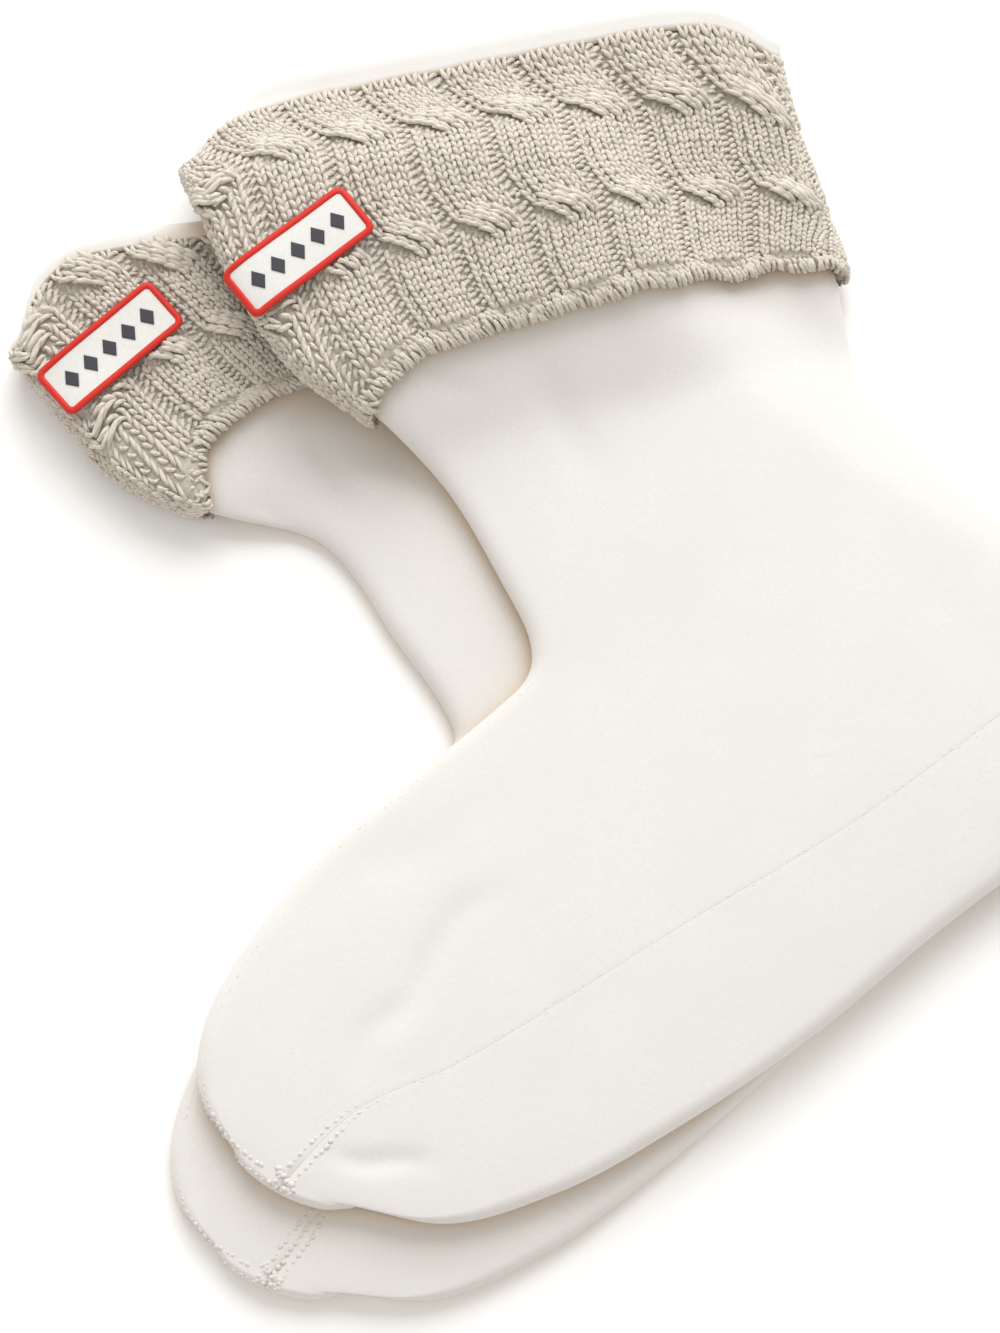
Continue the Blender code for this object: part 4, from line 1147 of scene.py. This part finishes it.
def add_patch_motif(sock_name, field, material):
    """A plain row of raised diamonds across the patch's face."""
    points, walls, tops, floors = [], [], [], []
    count = len(DIAMOND)
    for k in range(DIAMONDS):
        middle = np.array([DIAMOND_STEP * (k - (DIAMONDS - 1) / 2), 0.0])
        start = k * len(DIAMOND_LINES) * count
        for scale, height in DIAMOND_LINES:
            points.append(on_patch(sock_name, field, middle + np.array(DIAMOND) * scale, height))
        for low in (start, start + count):
            for n in range(count):
                here, there = low + n, low + (n + 1) % count
                walls.append((here, there, there + count, here + count))
        floors.append(tuple(reversed(range(start, start + count))))
        tops.append(tuple(range(start + 2 * count, start + 3 * count)))
    points, name = np.concatenate(points), sock_name + "_patch_diamonds"
    return add_mesh(name, points, [walls, tops + floors], material, smooth=0)


# Sizes and colours
UPPER_FLAT, SOLE_FLAT, CUFF_FLAT = (0.32, 0.36), (0.13, 0.29), (0.36, 0.13)  # metres, before the sewing
FLOOR_HALF = 1500.0
LENS = 85.0
LIGHT_SIZE, LIGHT_COLOUR, LIGHT_PLACE = 3.0, (0.96, 0.99, 1.0), (0.3, 2.8, 2.3)
SURROUND_COLOUR, SURROUND_STRENGTH = (1.0, 0.965, 0.92, 1.0), 0.76


def colour_property(name, description, default):
    return bpy.props.FloatVectorProperty(
        name=name, description=description, default=default, size=3, min=0.0, max=1.0, subtype="COLOR"
    )


def size_property(name, description, default):
    """A length with its default in millimetres."""
    return bpy.props.FloatProperty(
        name=name, description=description, default=default * MM, min=0.00001, unit="LENGTH"
    )


def millimetres(size):
    """A size in millimetres, to the thousandth, because Blender keeps it in single precision."""
    return round(size / MM, 3)


class SockColours(bpy.types.PropertyGroup):
    """Colours of the pair."""

    fleece: colour_property("Fleece", "Colour of the leg, instep and sole", (0.725, 0.705, 0.68))
    knit: colour_property("Knit", "Colour of the cuffs' yarn", (0.645, 0.59, 0.52))
    # painted highlight: the thread is a little lighter than the fleece, for the light that the seam's beads
    # catch
    thread: colour_property("Thread", "Colour of the sewing thread", (0.745, 0.726, 0.70))
    patch: colour_property("Patch", "Colour of the patches' face", (0.71, 0.70, 0.675))
    border: colour_property("Border", "Colour of the patches' raised border", (0.62, 0.03, 0.02))
    motif: colour_property("Motif", "Colour of the diamonds on the patches", (0.05, 0.05, 0.06))
    floor: colour_property("Floor", "Colour of the floor", (0.95, 0.95, 0.95))


class SockSizes(bpy.types.PropertyGroup):
    """Sizes of the yarn and the patches. The socks' own form is the frame's."""

    knit_yarn: size_property("Knit yarn", "Radius of the yarn in the knit stitches", 0.71)
    purl_yarn: size_property("Purl yarn", "Radius of the yarn in the purl stitches and the hem", 0.68)
    fibre: size_property("Stray fibre", "Radius of the fibres that stand off the cuffs", 0.045)
    patch: size_property("Patch", "Thickness of the patches' plate", 1.15)
    fibres: bpy.props.IntProperty(
        name="Stray fibres", description="Number of fibres on each cuff", default=700, min=1
    )


class SockStage(bpy.types.PropertyGroup):
    """The light and the camera."""

    camera_height: bpy.props.FloatProperty(
        name="Camera elevation",
        description="Angle of the camera above the floor",
        default=math.radians(78.0),
        subtype="ANGLE",
    )
    camera_distance: bpy.props.FloatProperty(
        name="Camera distance",
        description="From the camera to the middle of the photograph",
        default=0.84,
        unit="LENGTH",
    )
    light: bpy.props.FloatProperty(
        name="Light", description="Power of the soft light", default=134.0, min=0.0, unit="POWER"
    )


class SOCKS_OT_fleece(bpy.types.Operator):
    """Add the fleece uppers and soles of both socks"""

    bl_idname = "socks.fleece"
    bl_label = "Add Fleece"

    def execute(self, context):
        material = fleece_look(tuple(context.scene.sock_colours.fleece))
        thread = thread_look(tuple(context.scene.sock_colours.thread))
        for which in SOCKS:
            sock = the_sock(which)
            upper = add_upper(sock, material)
            sole = add_sole(sock, material)
            beads = seam_beads(sock, np.random.default_rng(SEAM_SEEDS[which]))
            seams = add_yarns(which + "_seams", [beads], thread, "fleece")
            of_the_pair(upper, "fleece", which + "_upper")
            of_the_pair(sole, "fleece", which + "_sole")
            for piece, flat, on_it in ((upper, UPPER_FLAT, [seams]), (sole, SOLE_FLAT, [])):
                area = layer_of(piece, flat)
                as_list(on_it)
        return {"FINISHED"}


class SOCKS_OT_cuffs(bpy.types.Operator):
    """Add the cable-knit cuffs, stitch by stitch"""

    bl_idname = "socks.cuffs"
    bl_label = "Add Cuffs"

    def execute(self, context):
        colour, sizes = tuple(context.scene.sock_colours.knit), context.scene.sock_sizes
        knit_yarn, purl_yarn = millimetres(sizes.knit_yarn), millimetres(sizes.purl_yarn)
        yarn = yarn_look("oatmeal_yarn", colour, 0.18)
        backing = backing_look(colour)
        for which in SOCKS:
            sock = the_sock(which)
            rng = np.random.default_rng(KNIT_SEEDS[which])
            shell = of_the_pair(add_cuff_backing(sock, backing), "knit", which + "_cuff")
            for name, near, sides, steps in (("front", True, 5, 5), ("back", False, 4, 4)):
                side = (sock, rng, near, sides, steps)
                parts = [knit_stitches(knit_yarn, *side)]
                add_yarns(f"{which}_knit_{name}", parts, yarn, "knit")
                parts = [purl_stitches(purl_yarn, *side), hem_stitches(purl_yarn, *side)]
                add_yarns(f"{which}_purl_{name}", parts, yarn, "knit")
            fibres = stray_fibres(sock, rng, sizes.fibres, millimetres(sizes.fibre))
            add_yarns(which + "_knit_fibres", [fibres], yarn, "knit")
            area = layer_of(shell, CUFF_FLAT)
        return {"FINISHED"}


class SOCKS_OT_patches(bpy.types.Operator):
    """Add the small patches on the cuffs"""

    bl_idname = "socks.patches"
    bl_label = "Add Patches"

    def execute(self, context):
        colours, thickness = context.scene.sock_colours, millimetres(context.scene.sock_sizes.patch)
        face = patch_look("patch_face", tuple(colours.patch))
        border = patch_look("patch_border", tuple(colours.border))
        motif = patch_look("patch_motif", tuple(colours.motif))
        for which in SOCKS:
            field = on_top_of([which + "_cuff"], PATCH_REACH, PATCH_CLEARANCE)
            of_the_pair(add_patch_face(which, field, face, thickness), "patch", which + "_patch")
            of_the_pair(add_patch_border(which, field, border), "patch")
            of_the_pair(add_patch_motif(which, field, motif), "patch")
        return {"FINISHED"}


class SOCKS_OT_stage(bpy.types.Operator):
    """Add the floor, the soft light and the camera"""

    bl_idname = "socks.stage"
    bl_label = "Add Stage"

    def execute(self, context):
        scene, settings = context.scene, context.scene.sock_stage
        half = FLOOR_HALF
        points = [(-half, -half, 0), (half, -half, 0), (half, half, 0), (-half, half, 0)]
        floor = add_mesh("floor", points, [[(0, 1, 2, 3)]], floor_look(tuple(scene.sock_colours.floor)))
        target = Vector((-PAIR_CENTRE[0] * MM, -PAIR_CENTRE[1] * MM, 0.0))
        angle = settings.camera_height
        direction = Vector((0.0, -math.cos(angle), math.sin(angle)))
        camera = bpy.data.objects.new("camera", bpy.data.cameras.new("camera"))
        camera.location = target + direction * settings.camera_distance
        camera.rotation_euler = (math.pi / 2 - angle, 0.0, 0.0)
        camera.data.lens = LENS
        camera.data.sensor_fit = "VERTICAL"
        camera.data.sensor_height = 36.0
        camera.data.clip_start = 0.01
        scene.collection.objects.link(camera)
        scene.camera = camera
        data = bpy.data.lights.new("soft_light", "AREA")
        data.energy, data.size, data.color = settings.light, LIGHT_SIZE, LIGHT_COLOUR
        light = bpy.data.objects.new("soft_light", data)
        light.location = LIGHT_PLACE
        light.rotation_euler = (-light.location).to_track_quat("-Z", "Y").to_euler()
        scene.collection.objects.link(light)
        world = scene.world or bpy.data.worlds.new("world")
        scene.world = world
        world.use_nodes = True
        background = world.node_tree.nodes["Background"]
        background.inputs["Color"].default_value = SURROUND_COLOUR
        background.inputs["Strength"].default_value = SURROUND_STRENGTH
        scene.view_settings.view_transform = "Standard"
        return {"FINISHED"}


class SOCKS_PT_panel(bpy.types.Panel):
    """Lists the steps that build the pair"""

    bl_idname = "SOCKS_PT_panel"
    bl_label = "Boot Socks"
    bl_space_type = "VIEW_3D"
    bl_region_type = "UI"
    bl_category = "Boot Socks"

    def draw(self, context):
        layout = self.layout
        for step in STEPS:
            layout.operator(step.bl_idname)
        scene = context.scene
        for group in (scene.sock_colours, scene.sock_sizes, scene.sock_stage):
            column = layout.column()
            for name in group.__annotations__:
                column.prop(group, name)


GROUPS = (SockColours, SockSizes, SockStage)
STEPS = (SOCKS_OT_fleece, SOCKS_OT_cuffs, SOCKS_OT_patches, SOCKS_OT_stage)


def register():
    for made in (*GROUPS, *STEPS, SOCKS_PT_panel):
        bpy.utils.register_class(made)
    bpy.types.Scene.sock_colours = bpy.props.PointerProperty(type=SockColours)
    bpy.types.Scene.sock_sizes = bpy.props.PointerProperty(type=SockSizes)
    bpy.types.Scene.sock_stage = bpy.props.PointerProperty(type=SockStage)


def unregister():
    del bpy.types.Scene.sock_stage
    del bpy.types.Scene.sock_sizes
    del bpy.types.Scene.sock_colours
    for made in reversed((*GROUPS, *STEPS, SOCKS_PT_panel)):
        bpy.utils.unregister_class(made)


def main():
    register()
    bpy.ops.socks.fleece()
    bpy.ops.socks.cuffs()
    bpy.ops.socks.patches()
    bpy.ops.socks.stage()


if __name__ == "__main__":
    main()
